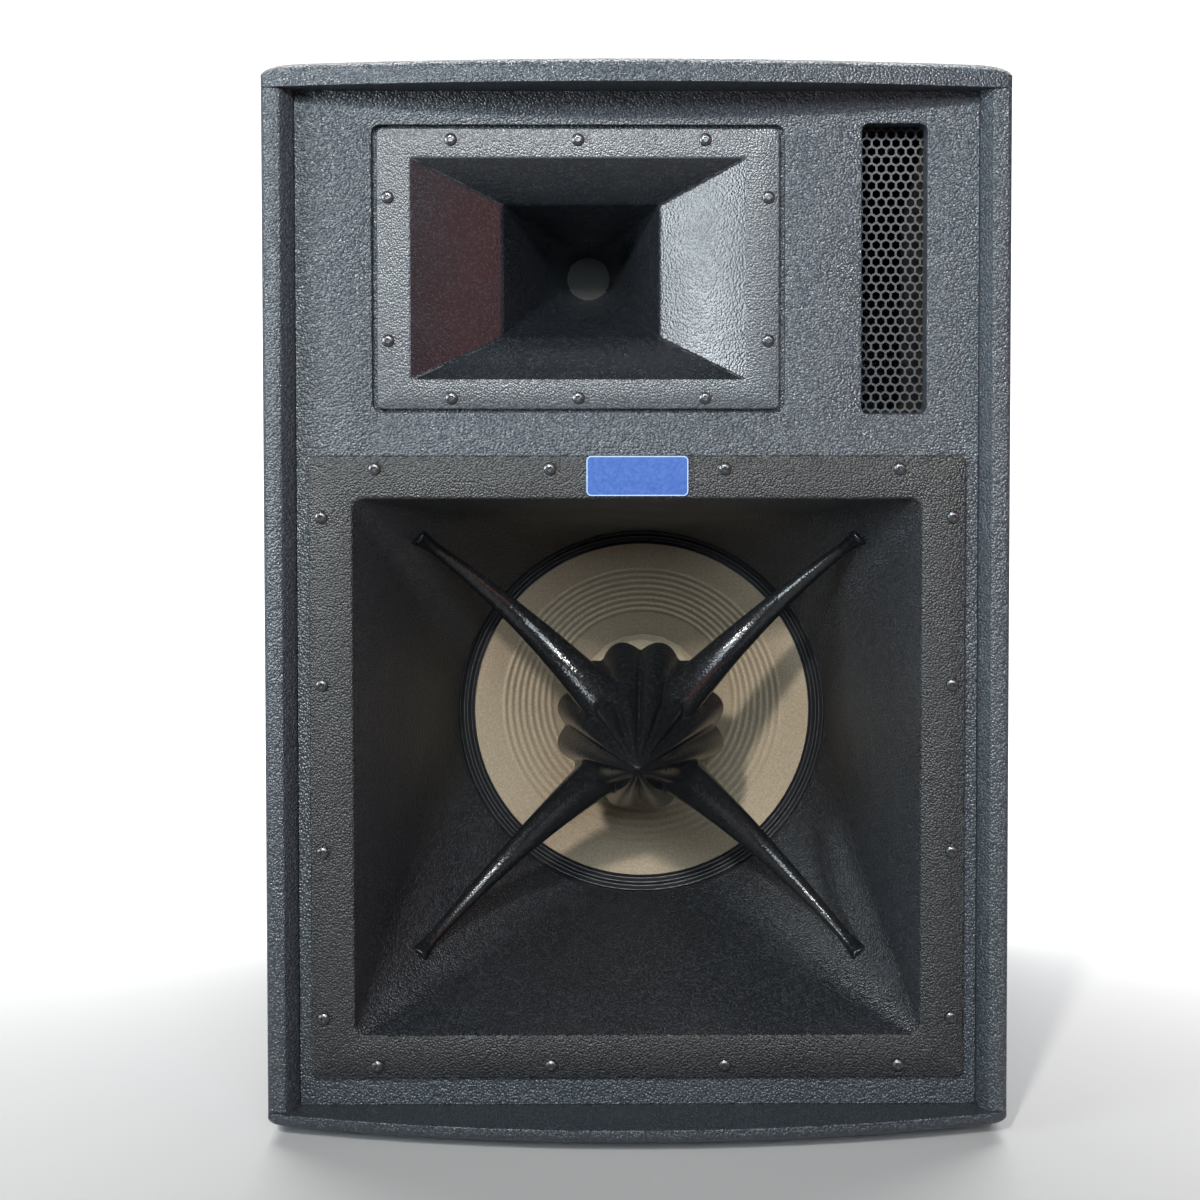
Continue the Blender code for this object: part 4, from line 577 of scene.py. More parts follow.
def make_end_panel(node, outer_z, inner_z, round_over, corner_growth):
    """A bowed panel whose outer face has a rolled edge."""
    bm = bmesh.new()
    outward = 1 if outer_z > inner_z else -1
    start_z = outer_z - outward * round_over
    sections = [plan_section(INNER_EDGE_SOFTENING, LOWER_CORNER, inner_z),
                plan_section(0, LOWER_CORNER, inner_z + outward * INNER_EDGE_SOFTENING)]
    for i in range(EDGE_STEPS + 1):
        turn = math.radians(90) * i / EDGE_STEPS
        inset = round_over * (1 - math.cos(turn))
        corner = LOWER_CORNER + corner_growth * math.sin(turn)
        sections.append(plan_section(inset, corner, start_z + outward * round_over * math.sin(turn)))
    capped_loft(bm, *sections)
    return finish_piece(node, bm, CABINET_PAINT, [node], smooth=28)


top_low, top_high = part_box("top_panel")
bottom_low, bottom_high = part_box("bottom_panel")
make_end_panel("top_panel", top_high.z, top_low.z, TOP_ROUND_OVER, TOP_CORNER_GROWTH)
make_end_panel("bottom_panel", bottom_low.z, bottom_high.z, BOTTOM_ROUND_OVER, BOTTOM_CORNER_GROWTH)

# %% [markdown]
# ## Side panels
# A side panel is one board, so its plan is drawn once and extruded upward. The inner front edge has a wide
# chamfer that catches the light, drawn as part of the plan. The bevel operator then rounds the outer front
# edge and takes the sharpness off the chamfer.

# %% Build the side panels
CHAMFER_WIDTH = 0.0065
CHAMFER_DEPTH = 0.010
SIDE_ROUND_OVER = 0.003
SIDE_SOFTENING = 0.0009


def make_side_panel(node):
    """A side board extruded from its plan."""
    low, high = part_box(node)
    outward = 1 if high.x > 0 else -1
    outer = high.x if outward > 0 else low.x
    inner = low.x if outward > 0 else high.x
    bm = bmesh.new()
    plan = [(outer, low.y), (outer, high.y), (inner, high.y), (inner, low.y + CHAMFER_DEPTH),
            (inner + outward * CHAMFER_WIDTH, low.y)]
    capped_loft(bm, *[[(x, y, z) for x, y in plan] for z in (low.z, high.z)])
    bmesh.ops.recalc_face_normals(bm, faces=bm.faces)
    uprights = [e for e in bm.edges if abs(e.verts[0].co.z - e.verts[1].co.z) > 0.1]
    outer_front = [e for e in uprights if all(abs(v.co.x - outer) < 1e-6 and v.co.y < 0 for v in e.verts)]
    others = [e for e in uprights if e not in outer_front]
    soften(bm, outer_front, SIDE_ROUND_OVER, 4)
    soften(bm, others, SIDE_SOFTENING, 2)
    return finish_piece(node, bm, CABINET_PAINT, [node], smooth=28)


for side in ("left_side_panel", "right_side_panel"):
    make_side_panel(side)

# %% [markdown]
# ## Front baffle
# The baffle is a board with three openings, one of them with a ledge that lets the small horn sit flush. The
# walls of the openings are lofted first, then the front and rear faces are filled around their loops. A
# boolean would also cut the holes, but loops leave clean edges for the bevel.

# %% Build the front baffle
HORN_CLEARANCE = 0.007
HF_CLEARANCE = 0.006
RECESS_MARGIN = (0.006, 0.0038)
RECESS_RADIUS = 0.006
LEDGE_BEHIND_FLANGE = 0.0053
HORN_OPENING = grown(HORN_MOUTH, HORN_CLEARANCE)
RECESS = (HF_FLANGE[0] + RECESS_MARGIN[0], HF_FLANGE[1] + RECESS_MARGIN[1], RECESS_RADIUS)
RECESS_DEPTH = HF_HORN_LOW.y - BAFFLE_LOW.y + LEDGE_BEHIND_FLANGE
HF_OPENING = grown(HF_MOUTH, HF_CLEARANCE)
PORT_SLOT = (0.0405, 0.1800, 0.0045)
OPENING_SOFTENING = 0.0009
BAFFLE_CORNER = 0.0005
PORT_AXIS = box_middle("port_grille")


def make_front_baffle():
    """The board behind both horns, with its three openings."""
    bm = bmesh.new()
    middle = (BAFFLE_LOW + BAFFLE_HIGH) / 2
    size = BAFFLE_HIGH - BAFFLE_LOW
    depths = (BAFFLE_LOW.y, BAFFLE_HIGH.y)
    ledge_y = BAFFLE_LOW.y + RECESS_DEPTH
    outline = loft(bm, *[upright(size.x, size.z, BAFFLE_CORNER, middle, y) for y in depths])
    horn = loft(bm, *[upright(*HORN_OPENING, WOOFER_AXIS, y) for y in depths])
    port = loft(bm, *[upright(*PORT_SLOT, PORT_AXIS, y) for y in depths])
    recess = loft(bm, *stack(HF_AXIS, (RECESS, BAFFLE_LOW.y), (RECESS, ledge_y), (HF_OPENING, ledge_y),
                             (HF_OPENING, BAFFLE_HIGH.y)))
    for end in (0, -1):
        fill(bm, outline[end], horn[end], port[end], recess[end])
    bmesh.ops.recalc_face_normals(bm, faces=bm.faces)
    soften(bm, port[0] + recess[0], OPENING_SOFTENING)
    return finish_piece("front_baffle", bm, CABINET_PAINT, ["front_baffle"])


make_front_baffle()

# %% [markdown]
# ## Rear panel and feet
# The rear panel is a plain board with one square opening for the connector cup, and a shallow rebate around
# it that lets the cup's flange lie flush. Two faces at the same depth would fight for the same pixels. The
# panel's rim is softened because the paint pulls thin there. The four feet are short cones with a rounded
# sole.

# %% Build the rear panel and the feet
CUP_AXIS = box_middle("connector_cup")
CUP_OPENING = (0.093, 0.093, 0.0135)
CUP_REBATE = (0.111, 0.111, 0.0065)
CUP_REBATE_DEPTH = 0.0033
REAR_SOFTENING = 0.0012
REAR_BOARD_CORNER = 0.001
FOOT_TAPER = 0.003
SOLE_SOFTENING = 0.0015


def make_rear_panel():
    """The rear board, with the opening for the connector cup."""
    bm = bmesh.new()
    middle = (REAR_LOW + REAR_HIGH) / 2
    size = REAR_HIGH - REAR_LOW
    depths = (REAR_LOW.y, REAR_HIGH.y)
    outline = loft(bm, *[upright(size.x, size.z, REAR_BOARD_CORNER, middle, y) for y in depths])
    seat = REAR_HIGH.y - CUP_REBATE_DEPTH
    cup = loft(bm, *stack(CUP_AXIS, (CUP_OPENING, REAR_LOW.y), (CUP_OPENING, seat), (CUP_REBATE, seat),
                          (CUP_REBATE, REAR_HIGH.y)))
    for end in (0, -1):
        fill(bm, outline[end], cup[end])
    bmesh.ops.recalc_face_normals(bm, faces=bm.faces)
    soften(bm, outline[-1], REAR_SOFTENING)
    return finish_piece("rear_panel", bm, CABINET_PAINT, ["rear_panel"])


def make_foot(node):
    """A tapered rubber foot with a rounded sole."""
    low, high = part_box(node)
    middle = (low + high) / 2
    radius = (high.x - low.x) / 2
    bm = bmesh.new()
    bmesh.ops.create_cone(bm, cap_ends=True, segments=48, radius1=radius - FOOT_TAPER, radius2=radius,
                          depth=high.z - low.z, matrix=Matrix.Translation(middle))
    sole = [e for e in bm.edges if all(v.co.z < middle.z for v in e.verts)]
    soften(bm, sole, SOLE_SOFTENING)
    return finish_piece(node, bm, FOOT_RUBBER, [node])


make_rear_panel()
for foot in sorted(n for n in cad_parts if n.startswith("foot_")):
    make_foot(foot)

# %% [markdown]
# ## Woofer horn
# The big horn runs from a rectangular mouth to a round throat. A loft from a rectangle to a circle gives the
# flat walls and the cone-shaped corners of the real moulding in one step. The outside follows 5 mm behind, so
# the horn is a closed shell. The rims get a soft bevel. The front of the flange gets a darker copy of the
# horn's paint as painted shade, and the walls get a paler copy with painted glare.

# %% Build the woofer horn
HORN_WALL = 0.005
HORN_FLANGE_THICKNESS = 0.005
HORN_THROAT = 0.132
HORN_COLLAR = 0.1575
HORN_COLLAR_THICKNESS = 0.008
FLANGE_SOFTENING = 0.0016
MOUTH_SOFTENING = 0.0016
FACE_DEPTH = 0.002


def close_shell(bm):
    """Joins the last section of a shell to its first and points the faces outward."""
    bmesh.ops.remove_doubles(bm, verts=bm.verts, dist=1e-6)
    bmesh.ops.recalc_face_normals(bm, faces=bm.faces)


def paint_face(bm, front):
    """Gives the flat faces at the front the second material, a copy of the moulding's paint toned for the
    light on the flange face: painted shade on the big horn, painted glare on the small one.
    """
    for face in bm.faces:
        if all(v.co.y < front + FACE_DEPTH for v in face.verts):
            face.material_index = 1


def make_woofer_horn():
    """Flange, tapering walls and round collar as one shell."""
    bm = bmesh.new()
    front, rear = WOOFER_HORN_LOW.y, WOOFER_HORN_HIGH.y
    flange_back = front + HORN_FLANGE_THICKNESS
    throat_front = rear - HORN_COLLAR_THICKNESS
    rim = (HORN_FLANGE, flange_back)
    loops = loft(bm, *stack(
        WOOFER_AXIS, rim, (HORN_FLANGE, front), (HORN_MOUTH, front), (disc(HORN_THROAT), throat_front),
        (disc(HORN_THROAT), rear), (disc(HORN_COLLAR), rear), (disc(HORN_COLLAR), throat_front),
        (disc(HORN_THROAT + HORN_WALL), throat_front), (grown(HORN_MOUTH, HORN_WALL), flange_back), rim))
    close_shell(bm)
    soften(bm, loops[1], FLANGE_SOFTENING)
    soften(bm, loops[2], MOUTH_SOFTENING)
    paint_face(bm, front)
    horn = finish_piece("woofer_horn", bm, HORN_PAINT_PAINTED_GLARE, ["woofer_horn"], smooth=24)
    # The flange face gets a darker copy of the horn's paint: painted shade.
    horn.data.materials.append(HORN_FACE_PAINTED_SHADE)
    return horn


make_woofer_horn()

# %% [markdown]
# ## High-frequency horn
# The small horn flares in two steps: a short steep part behind the mouth, then a longer taper to a round
# throat. It is lofted like the big horn with one more section at the waist, and its flange lies flush with
# the baffle inside the recess.

# %% Build the high-frequency horn
HF_WAIST_SHARE = (0.474, 0.604)
HF_WAIST = (HF_MOUTH[0] * HF_WAIST_SHARE[0], HF_MOUTH[1] * HF_WAIST_SHARE[1], HF_MOUTH_RADIUS)
HF_WAIST_DEPTH = 0.033
HF_THROAT = 0.0147
HF_WALL = 0.004
HF_COLLAR = 0.045
HF_COLLAR_THICKNESS = 0.006
HF_FLANGE_THICKNESS = 0.005
HF_MOUTH_SOFTENING = 0.0008
HF_WAIST_SOFTENING = 0.0025


def make_hf_horn():
    """Flush flange, two flares and a rear collar as one shell."""
    bm = bmesh.new()
    front, rear = HF_HORN_LOW.y, HF_HORN_HIGH.y
    flange_back = front + HF_FLANGE_THICKNESS
    collar_front = rear - HF_COLLAR_THICKNESS
    waist_y = front + HF_WAIST_DEPTH
    rim = (HF_FLANGE, flange_back)
    loops = loft(bm, *stack(
        HF_AXIS, rim, (HF_FLANGE, front), (HF_MOUTH, front), (HF_WAIST, waist_y), (disc(HF_THROAT), rear),
        (disc(HF_COLLAR), rear), (disc(HF_COLLAR), collar_front),
        (disc(HF_THROAT + 2 * HF_WALL), collar_front), (grown(HF_WAIST, HF_WALL), waist_y),
        (grown(HF_MOUTH, HF_WALL), flange_back), rim))
    close_shell(bm)
    soften(bm, loops[1], FLANGE_SOFTENING)
    soften(bm, loops[2], HF_MOUTH_SOFTENING)
    soften(bm, loops[3], HF_WAIST_SOFTENING)
    paint_face(bm, front)
    horn = finish_piece("hf_horn", bm, HF_PAINT_PAINTED_SHADE, ["hf_horn"], smooth=24)
    # The flange face gets a paler copy of the horn's paint: painted glare.
    horn.data.materials.append(HF_FACE_PAINTED_GLARE)
    return horn


make_hf_horn()

# %% [markdown]
# ## Phase plug
# The plug is the showpiece: a nose with twelve flutes, held by four arms that reach to the horn's corners.
# The nose starts as a stack of circles whose points are pulled in between the lobes. The arms are rings
# swept along a curve, and a voxel remesh melts nose and arms into one casting.

# %% Set the plug's curves
PLUG_TIP_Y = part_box("phase_plug")[0].y
PLUG_LENGTH = 0.131
PLUG_RADIUS = 0.0595
PLUG_LOBES = 12
PLUG_FLUTE = 0.0075
PLUG_FLUTE_SHARE = 0.30
PLUG_NOSE_POWER = 0.8
PLUG_BACK = 0.010
ARM_ANGLE = math.atan2(HORN_MOUTH[1], HORN_MOUTH[0])
ARM_RADII = (0.017, 0.0068, 0.0034)
ARM_DEPTHS = (0.085, 0.1445, 0.066)
VOXEL = 0.0012


def bend(values, share):
    """Runs from the first value to the last, drawn towards the middle one on its way."""
    start, middle, end = values
    return start * (1 - share) ** 2 + middle * 2 * share * (1 - share) + end * share ** 2


def lobe_angle(angle):
    """Angle measured from the nearest arm, stretched so that lobes share each gap evenly."""
    quarter = [ARM_ANGLE, math.pi - ARM_ANGLE, math.pi + ARM_ANGLE, 2 * math.pi - ARM_ANGLE,
               2 * math.pi + ARM_ANGLE]
    lobes = PLUG_LOBES / 4
    turned = (angle - ARM_ANGLE) % (2 * math.pi) + ARM_ANGLE
    for start, end in zip(quarter, quarter[1:]):
        if start <= turned <= end:
            return math.pi * lobes * (turned - start) / (end - start)
    return 0.0


def plug_reach(share, angle):
    """How far the plug's surface lies from its axis, at a share of its length from the tip."""
    full = PLUG_RADIUS * share ** PLUG_NOSE_POWER
    flute = min(PLUG_FLUTE, PLUG_FLUTE_SHARE * full)
    return full - flute * (1 - abs(math.cos(lobe_angle(angle))))


print(f"arms lie {math.degrees(ARM_ANGLE):.1f} degrees above the horizontal")

# %% [markdown]
# The nose is a loft of fluted rings from the tip to a rounded back. An arm is a loft as well: circles set
# along a curve, each turned to face along it, wide at the nose, slim at the end and flared a little where
# the arm meets the horn wall.

# %% Build the phase plug
NOSE_RINGS = 30
BACK_RINGS = 8
RING_CROWDING = 1.4
TIP_SHARE = 0.002
NOSE_POINTS = PLUG_LOBES * 16
ARM_STATIONS = 25
ARM_POINTS = 24
ARM_FOOT = 0.0035
ARM_FLARE = 0.1
ARM_SINK = 0.003
MOUTH_CORNER_CUT = 0.003
NOSE_BACK_SCALE = 0.80


def nose_section(share, scale, depth):
    """One fluted ring of the nose."""
    points = []
    for i in range(NOSE_POINTS):
        angle = 2 * math.pi * i / NOSE_POINTS
        reach = plug_reach(share, angle) * scale
        points.append((WOOFER_AXIS.x + reach * math.cos(angle), PLUG_TIP_Y + depth,
                       WOOFER_AXIS.z + reach * math.sin(angle)))
    return points


def add_nose(bm):
    """The fluted nose, closed at the tip and rounded over at the back."""
    shares = [TIP_SHARE] + [(i / NOSE_RINGS) ** RING_CROWDING for i in range(1, NOSE_RINGS + 1)]
    sections = [nose_section(share, 1.0, PLUG_LENGTH * share) for share in shares]
    for i in range(1, BACK_RINGS + 1):
        turn = math.radians(90) * i / BACK_RINGS
        scale = NOSE_BACK_SCALE + (1 - NOSE_BACK_SCALE) * math.cos(turn)
        sections.append(nose_section(1.0, scale, PLUG_LENGTH + PLUG_BACK * math.sin(turn)))
    capped_loft(bm, *sections)


def wall_reach(depth):
    """How far the horn's corner lies from the axis, at a depth behind the flange face."""
    share = depth / (WOOFER_HORN_HIGH.y - HORN_COLLAR_THICKNESS - WOOFER_HORN_LOW.y)
    corner = math.hypot(HORN_MOUTH[0] / 2, HORN_MOUTH[1] / 2) - MOUTH_CORNER_CUT
    return corner + (HORN_THROAT - corner) * share


def add_arm(bm, angle):
    """One arm, from inside the nose to the horn's corner."""
    outward = Vector((math.cos(angle), 0, math.sin(angle)))
    root = PLUG_RADIUS / 3
    end = wall_reach(ARM_DEPTHS[-1]) + ARM_SINK
    places, radii = [], []
    for i in range(ARM_STATIONS):
        t = i / (ARM_STATIONS - 1)
        depth = bend(ARM_DEPTHS, t)
        place = outward * (root + (end - root) * t)
        places.append(Vector((WOOFER_AXIS.x, WOOFER_HORN_LOW.y + depth, WOOFER_AXIS.z)) + place)
        flare = max(0.0, (t - (1 - ARM_FLARE)) / ARM_FLARE)
        radii.append(bend(ARM_RADII, t) + ARM_FOOT * flare ** 2)
    sections = []
    for i, (place, radius) in enumerate(zip(places, radii)):
        ahead = places[min(i + 1, ARM_STATIONS - 1)] - places[max(i - 1, 0)]
        turn = Matrix.Translation(place) @ ahead.to_track_quat("Z", "Y").to_matrix().to_4x4()
        angles = [2 * math.pi * k / ARM_POINTS for k in range(ARM_POINTS)]
        sections.append([turn @ Vector((radius * math.cos(k), radius * math.sin(k), 0)) for k in angles])
    capped_loft(bm, *sections)


def make_phase_plug():
    """Nose and arms melted into one casting, then smoothed."""
    bm = bmesh.new()
    add_nose(bm)
    for turn in (ARM_ANGLE, math.pi - ARM_ANGLE, math.pi + ARM_ANGLE, -ARM_ANGLE):
        add_arm(bm, turn)
    plug = finish_piece("phase_plug", bm, PLUG_PAINT, ["phase_plug"], smooth=180)
    melt = plug.modifiers.new("melt", "REMESH")
    melt.mode = "VOXEL"
    melt.voxel_size = VOXEL
    melt.use_smooth_shade = True
    relax = plug.modifiers.new("relax", "SMOOTH")
    relax.factor = 0.5
    relax.iterations = 2
    return plug


make_phase_plug()

# %% [markdown]
# ## Cone and surround
# The cone and its surround are turned shapes, so each is one profile spun about the horn's axis. The cone has
# eight pressed ribs and a smooth outer band, and the surround has three rolls. The surround stretches when
# the cone moves: its inner edge rides on the cone and its outer edge stays with the basket.

# %% Spin the cone and the surround
CONE_LOW, CONE_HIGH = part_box("woofer_cone")
SURROUND_LOW, SURROUND_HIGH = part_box("woofer_surround")
CONE_EDGE = (CONE_HIGH.x - CONE_LOW.x) / 2
CONE_EDGE_Y = WOOFER_HORN_HIGH.y + 0.005
CONE_DEPTH = 0.056
CONE_NECK = 0.0388
CONE_POWER = 1.12
CONE_THICKNESS = 0.0016
CONE_STEPS = 150
RIB_OUTER = CONE_EDGE - 0.0192
RIB_INNER = RIB_OUTER - 0.0365
RIBS = 8
RIB_HEIGHT = 0.0013
ROLL_OUTER = HORN_THROAT + 0.0045
ROLLS = 3
ROLL_STEPS = 60
ROLL_HEIGHT = 0.0022
RING_Y = WOOFER_HORN_HIGH.y + 0.0007
CLOTH_THICKNESS = 0.0006
GLUE_LAP = 0.0008


def cone_y(radius):
    """Depth of the cone's front face at a radius, ribs included."""
    share = (CONE_EDGE - radius) / (CONE_EDGE - CONE_NECK)
    y = CONE_EDGE_Y + CONE_DEPTH * share ** CONE_POWER
    if RIB_INNER < radius < RIB_OUTER:
        phase = (radius - RIB_INNER) / (RIB_OUTER - RIB_INNER) * RIBS
        y -= RIB_HEIGHT * (0.5 - 0.5 * math.cos(2 * math.pi * phase))
    return y


def spin_profile(bm, profile, centre, steps=ROUND_STEPS):
    """Spins a profile of (radius, depth) points about a line along Y through a centre."""
    verts = [bm.verts.new((centre.x + r, y, centre.z)) for r, y in profile]
    edges = [bm.edges.new((a, b)) for a, b in zip(verts, verts[1:])]
    bmesh.ops.spin(bm, geom=verts + edges, cent=centre, axis=(0, 1, 0), dvec=(0, 0, 0),
                   angle=math.radians(360), steps=steps, use_merge=True)


def make_cone():
    """Ribbed paper cone with a front and a back face."""
    radii = [CONE_EDGE + (CONE_NECK - CONE_EDGE) * i / CONE_STEPS for i in range(CONE_STEPS + 1)]
    front = [(r, cone_y(r)) for r in radii]
    back = [(r, y + CONE_THICKNESS) for r, y in reversed(front)]
    bm = bmesh.new()
    spin_profile(bm, front + back + front[:1], WOOFER_AXIS)
    return finish_piece("woofer_cone", bm, CONE_PAPER, ["woofer_cone"], "cone", 60)


def make_surround():
    """Rolled cloth from the cone's edge to a flat ring glued to the basket."""
    start = CONE_EDGE - GLUE_LAP
    edge_y = cone_y(CONE_EDGE) - GLUE_LAP
    front = []
    for i in range(ROLL_STEPS + 1):
        t = i / ROLL_STEPS
        dip = ROLL_HEIGHT * (0.5 - 0.5 * math.cos(2 * math.pi * ROLLS * t))
        front.append((start + (ROLL_OUTER - start) * t, edge_y + (RING_Y - edge_y) * t + dip))
    front.append(((SURROUND_HIGH.x - SURROUND_LOW.x) / 2, RING_Y))
    back = [(r, y + CLOTH_THICKNESS) for r, y in reversed(front)]
    bm = bmesh.new()
    spin_profile(bm, front + back + front[:1], WOOFER_AXIS)
    return finish_piece("woofer_surround", bm, SURROUND_CLOTH, ["woofer_surround"],
                        None, 60)


def bend_outward(obj, inner, outer):
    """Lets a ring follow the cone at its inner edge and the cabinet at its outer edge."""
    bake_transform(obj, "cone", "cabinet", WOOFER_AXIS + Vector((inner, 0, 0)),
             WOOFER_AXIS + Vector((outer, 0, 0)))
    for vert, share in zip(obj.data.vertices, obj.data.attributes["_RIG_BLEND"].data):
        reach = math.hypot(vert.co.x - WOOFER_AXIS.x, vert.co.z - WOOFER_AXIS.z)
        t = min(1.0, max(0.0, (reach - inner) / (outer - inner)))
        share.value = t * t * (3 - 2 * t)


make_cone()
bend_outward(make_surround(), CONE_EDGE, ROLL_OUTER)

# %% [markdown]
# ## Screws
# Twenty-six button-head screws hold the two horns. Each is a small stack of circles for the dome with a
# six-sided section for the key socket, so one loft makes the whole head. A loop places one on every screw of
# the frame, at that screw's own centre.

# %% Build the button-head screws
HEAD_HEIGHT = 0.0022
HEAD_RIM = 0.0005
HEAD_FOOT_SHARE = 0.98
DOME_HEIGHT = 0.0018
DOME_TURNS = (0, 25, 45, 60)
SOCKET_RADIUS = 0.0017
SOCKET_DEPTH = 0.0014
SOCKET_LIP = 0.0001
SCREW_STEPS = 6


def upright_hexagon(radius, centre, y):
    """A hexagon with as many points as a screw's circles."""
    count = 4 * SCREW_STEPS
    points = []
    for i in range(count):
        angle = 2 * math.pi * (i + 0.5) / count
        reach = radius * math.cos(math.radians(30)) / math.cos(angle % math.radians(60) - math.radians(30))
        points.append((centre.x + reach * math.cos(angle), y, centre.z + reach * math.sin(angle)))
    return points


def make_screw(node):
    """A domed head with a hexagon socket."""
    low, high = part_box(node)
    centre = (low + high) / 2
    radius = (high.x - low.x) / 2
    seat = low.y + HEAD_HEIGHT
    bm = bmesh.new()
    sections = [upright(*disc(radius * HEAD_FOOT_SHARE), centre, seat, SCREW_STEPS)]
    for turn in DOME_TURNS:
        angle = math.radians(turn)
        y = seat - HEAD_RIM - DOME_HEIGHT * math.sin(angle)
        sections.append(upright(*disc(radius * math.cos(angle)), centre, y, SCREW_STEPS))
    for depth in (SOCKET_LIP, SOCKET_DEPTH):
        sections.append(upright_hexagon(SOCKET_RADIUS, centre, low.y + depth))
    capped_loft(bm, *sections)
    return finish_piece(node, bm, BLACK_SCREW, [node], smooth=30)


for screw in sorted(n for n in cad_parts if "_screw_" in n):
    make_screw(screw)

# %% [markdown]
# ## Port grille
# The port is covered by steel sheet punched with staggered hexagons. Six-sided circles tile the sheet, each
# is inset, and the inner faces are deleted, which leaves a web of even width. Cutting the web at the sheet's
# edges and thickening it makes the real piece, where a picture of holes would look flat from the side.

# %% Build the port grille
GRILLE_PITCH = 0.00615
GRILLE_HOLE = 0.00466


def make_grille():
    """Punched steel sheet behind the port slot."""
    low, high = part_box("port_grille")
    middle = (low + high) / 2
    row_height = GRILLE_PITCH * math.cos(math.radians(30))
    columns = int((high.x - low.x) / GRILLE_PITCH / 2) + 2
    rows = int((high.z - low.z) / row_height / 2) + 2
    bm = bmesh.new()
    for row in range(-rows, rows + 1):
        shift = 0.5 * (row % 2)
        for column in range(-columns, columns + 1):
            place = Vector((middle.x + (column + shift) * GRILLE_PITCH, low.y, middle.z + row * row_height))
            stand = Matrix.Translation(place) @ Matrix.Rotation(math.radians(90), 4, "X")
            bmesh.ops.create_circle(bm, cap_ends=True, segments=6, radius=GRILLE_PITCH / math.sqrt(3),
                                    matrix=stand)
    bmesh.ops.remove_doubles(bm, verts=bm.verts, dist=1e-5)
    cells = bm.faces[:]
    bmesh.ops.inset_individual(bm, faces=cells, thickness=(GRILLE_PITCH - GRILLE_HOLE) / 2)
    bmesh.ops.delete(bm, geom=cells, context="FACES")
    for corner, outward in ((low, -1), (high, 1)):
        for axis in ((1, 0, 0), (0, 0, 1)):
            bmesh.ops.bisect_plane(bm, geom=bm.verts[:] + bm.edges[:] + bm.faces[:], plane_co=corner,
                                   plane_no=Vector(axis) * outward, clear_outer=True)
    bmesh.ops.recalc_face_normals(bm, faces=bm.faces)
    bmesh.ops.solidify(bm, geom=bm.faces[:], thickness=high.y - low.y)
    shift_y = low.y - min(v.co.y for v in bm.verts)
    bmesh.ops.translate(bm, verts=bm.verts, vec=(0, shift_y, 0))
    return finish_piece("port_grille", bm, GRILLE_STEEL, ["port_grille"], smooth=30)


make_grille()

# %% [markdown]
# ## Badge plate
# The small blue plate on the horn's upper rim carries a thin pale outline. The plate is a loft of rounded
# rectangles. The outline is its own ring of faces with a second material, so it stays sharp.

# %% Build the badge plate
BADGE_RADIUS = 0.003
BADGE_OUTLINE = 0.0007


def make_badge():
    """Blue plate with a pale outline ring."""
    low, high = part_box("badge_plate")
    centre = (low + high) / 2
    inset = 2 * BADGE_OUTLINE
    outer = (high.x - low.x, high.z - low.z, BADGE_RADIUS)
    inner = (outer[0] - inset, outer[1] - inset, BADGE_RADIUS - BADGE_OUTLINE)
    bm = bmesh.new()
    loops = loft(bm, *stack(centre, (outer, high.y), (outer, low.y), (inner, low.y)))
    for face in {f for e in loops[2] for f in e.link_faces}:
        face.material_index = 1
    fill(bm, loops[2])
    fill(bm, loops[0])
    badge = finish_piece("badge_plate", bm, BADGE_ENAMEL, ["badge_plate"])
    badge.data.materials.append(BADGE_EDGE)
    return badge


make_badge()

# %% [markdown]
# ## Connector cup and socket
# A square cup is let into the rear panel, with a round socket in its floor. The cup is a stack of rounded
# squares from the flange down to the floor and back up the outside. The socket is a turned shape with a
# raised ring and a centre post.

# %% Build the connector cup and its socket
CUP_LOW, CUP_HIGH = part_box("connector_cup")
CUP_MOUTH = (0.086, 0.086, 0.010)
CUP_FLOOR = (0.070, 0.070, 0.010)
CUP_WALL = 0.003
CUP_FLANGE_THICKNESS = 0.003
CUP_FLANGE_RADIUS = 0.006
CUP_RIM_SOFTENING = 0.0009
CUP_MOUTH_SOFTENING = 0.0012
CUP_FLOOR_SOFTENING = 0.002
BARREL_CLEARANCE = 0.0006
SOCKET_LOW, SOCKET_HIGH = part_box("input_socket")
SOCKET_AXIS = box_middle("input_socket")
BARREL_RADIUS = 0.012
BORE_RADIUS = 0.0088
BORE_DEPTH = 0.015
POST_RADIUS = 0.0045
RING_THICKNESS = 0.002
RING_ROUNDING = 0.0005
BORE_ROUNDING = 0.0004
POST_SINK = 0.002
SOCKET_STEPS = 48


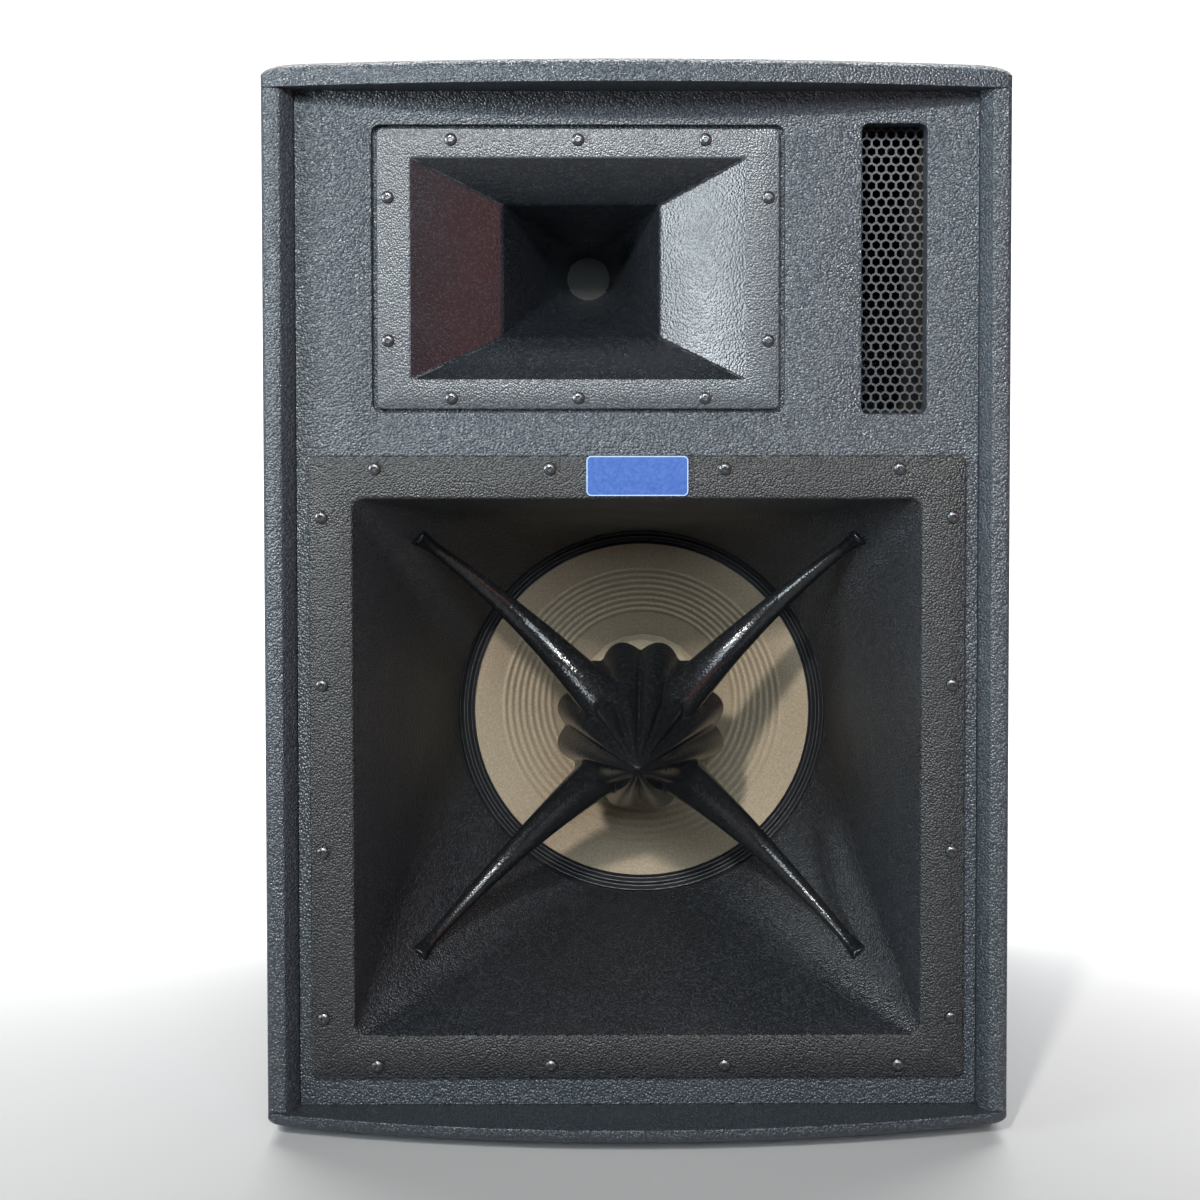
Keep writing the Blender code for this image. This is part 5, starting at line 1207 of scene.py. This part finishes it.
def make_connector_cup():
    """Square cup with a flange, open towards the rear."""
    bm = bmesh.new()
    width = CUP_HIGH.x - CUP_LOW.x
    seat = CUP_HIGH.y - CUP_FLANGE_THICKNESS
    floor = CUP_LOW.y + CUP_WALL
    hole = disc(BARREL_RADIUS + BARREL_CLEARANCE)
    flange = (width, width, CUP_FLANGE_RADIUS)
    rim = (flange, seat)
    loops = loft(bm, *stack(
        CUP_AXIS, rim, (flange, CUP_HIGH.y), (CUP_MOUTH, CUP_HIGH.y), (CUP_FLOOR, floor), (hole, floor),
        (hole, CUP_LOW.y), (grown(CUP_FLOOR, CUP_WALL), CUP_LOW.y), (grown(CUP_MOUTH, CUP_WALL), seat), rim))
    close_shell(bm)
    soften(bm, loops[1], CUP_RIM_SOFTENING)
    soften(bm, loops[2], CUP_MOUTH_SOFTENING)
    soften(bm, loops[3], CUP_FLOOR_SOFTENING)
    return finish_piece("connector_cup", bm, BLACK_PLASTIC, ["connector_cup"])


def make_socket():
    """Round locking socket with a centre post."""
    ring = (SOCKET_HIGH.x - SOCKET_LOW.x) / 2
    face = SOCKET_HIGH.y
    floor = face - BORE_DEPTH
    seat = face - RING_THICKNESS
    post_top = face - POST_SINK
    profile = [(ring, seat), (ring, face - RING_ROUNDING), (ring - RING_ROUNDING, face),
               (BORE_RADIUS + BORE_ROUNDING, face), (BORE_RADIUS, face - BORE_ROUNDING),
               (BORE_RADIUS, floor), (POST_RADIUS, floor), (POST_RADIUS, post_top - RING_ROUNDING),
               (POST_RADIUS - RING_ROUNDING, post_top), (0, post_top)]
    bm = bmesh.new()
    spin_profile(bm, profile, SOCKET_AXIS, SOCKET_STEPS)
    return finish_piece("input_socket", bm, BLACK_PLASTIC, ["input_socket"])


make_connector_cup()
make_socket()

# %% [markdown]
# ## Pieces that keep their solid shape
# The drivers, the duct and the crossover are sealed inside the box, and the screen lies deep in the throat.
# Their solid shapes are good enough, so they only get a finish, listed by node in one table.

# %% Give the inner pieces their finish
INNER_FINISH = {
    "woofer_basket": CAST_FRAME, "woofer_dust_cap": CONE_PAPER, "voice_coil": COIL_WINDING,
    "woofer_spider": SPIDER_CLOTH, "woofer_top_plate": PLATED_STEEL, "woofer_magnet": FERRITE,
    "woofer_yoke": PLATED_STEEL, "hf_throat_screen": SCREEN_MESH, "hf_driver_body": CAST_FRAME,
    "hf_magnet": FERRITE, "hf_top_plate": PLATED_STEEL, "hf_diaphragm": DOME_METAL,
    "hf_rear_cover": CAST_FRAME, "port_duct": DUCT_BOARD, "crossover_board": CIRCUIT_BOARD}
for node, finish in INNER_FINISH.items():
    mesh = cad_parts[node].data
    mesh.materials.clear()
    mesh.materials.append(finish)
print(f"{len(INNER_FINISH)} inner pieces finished")
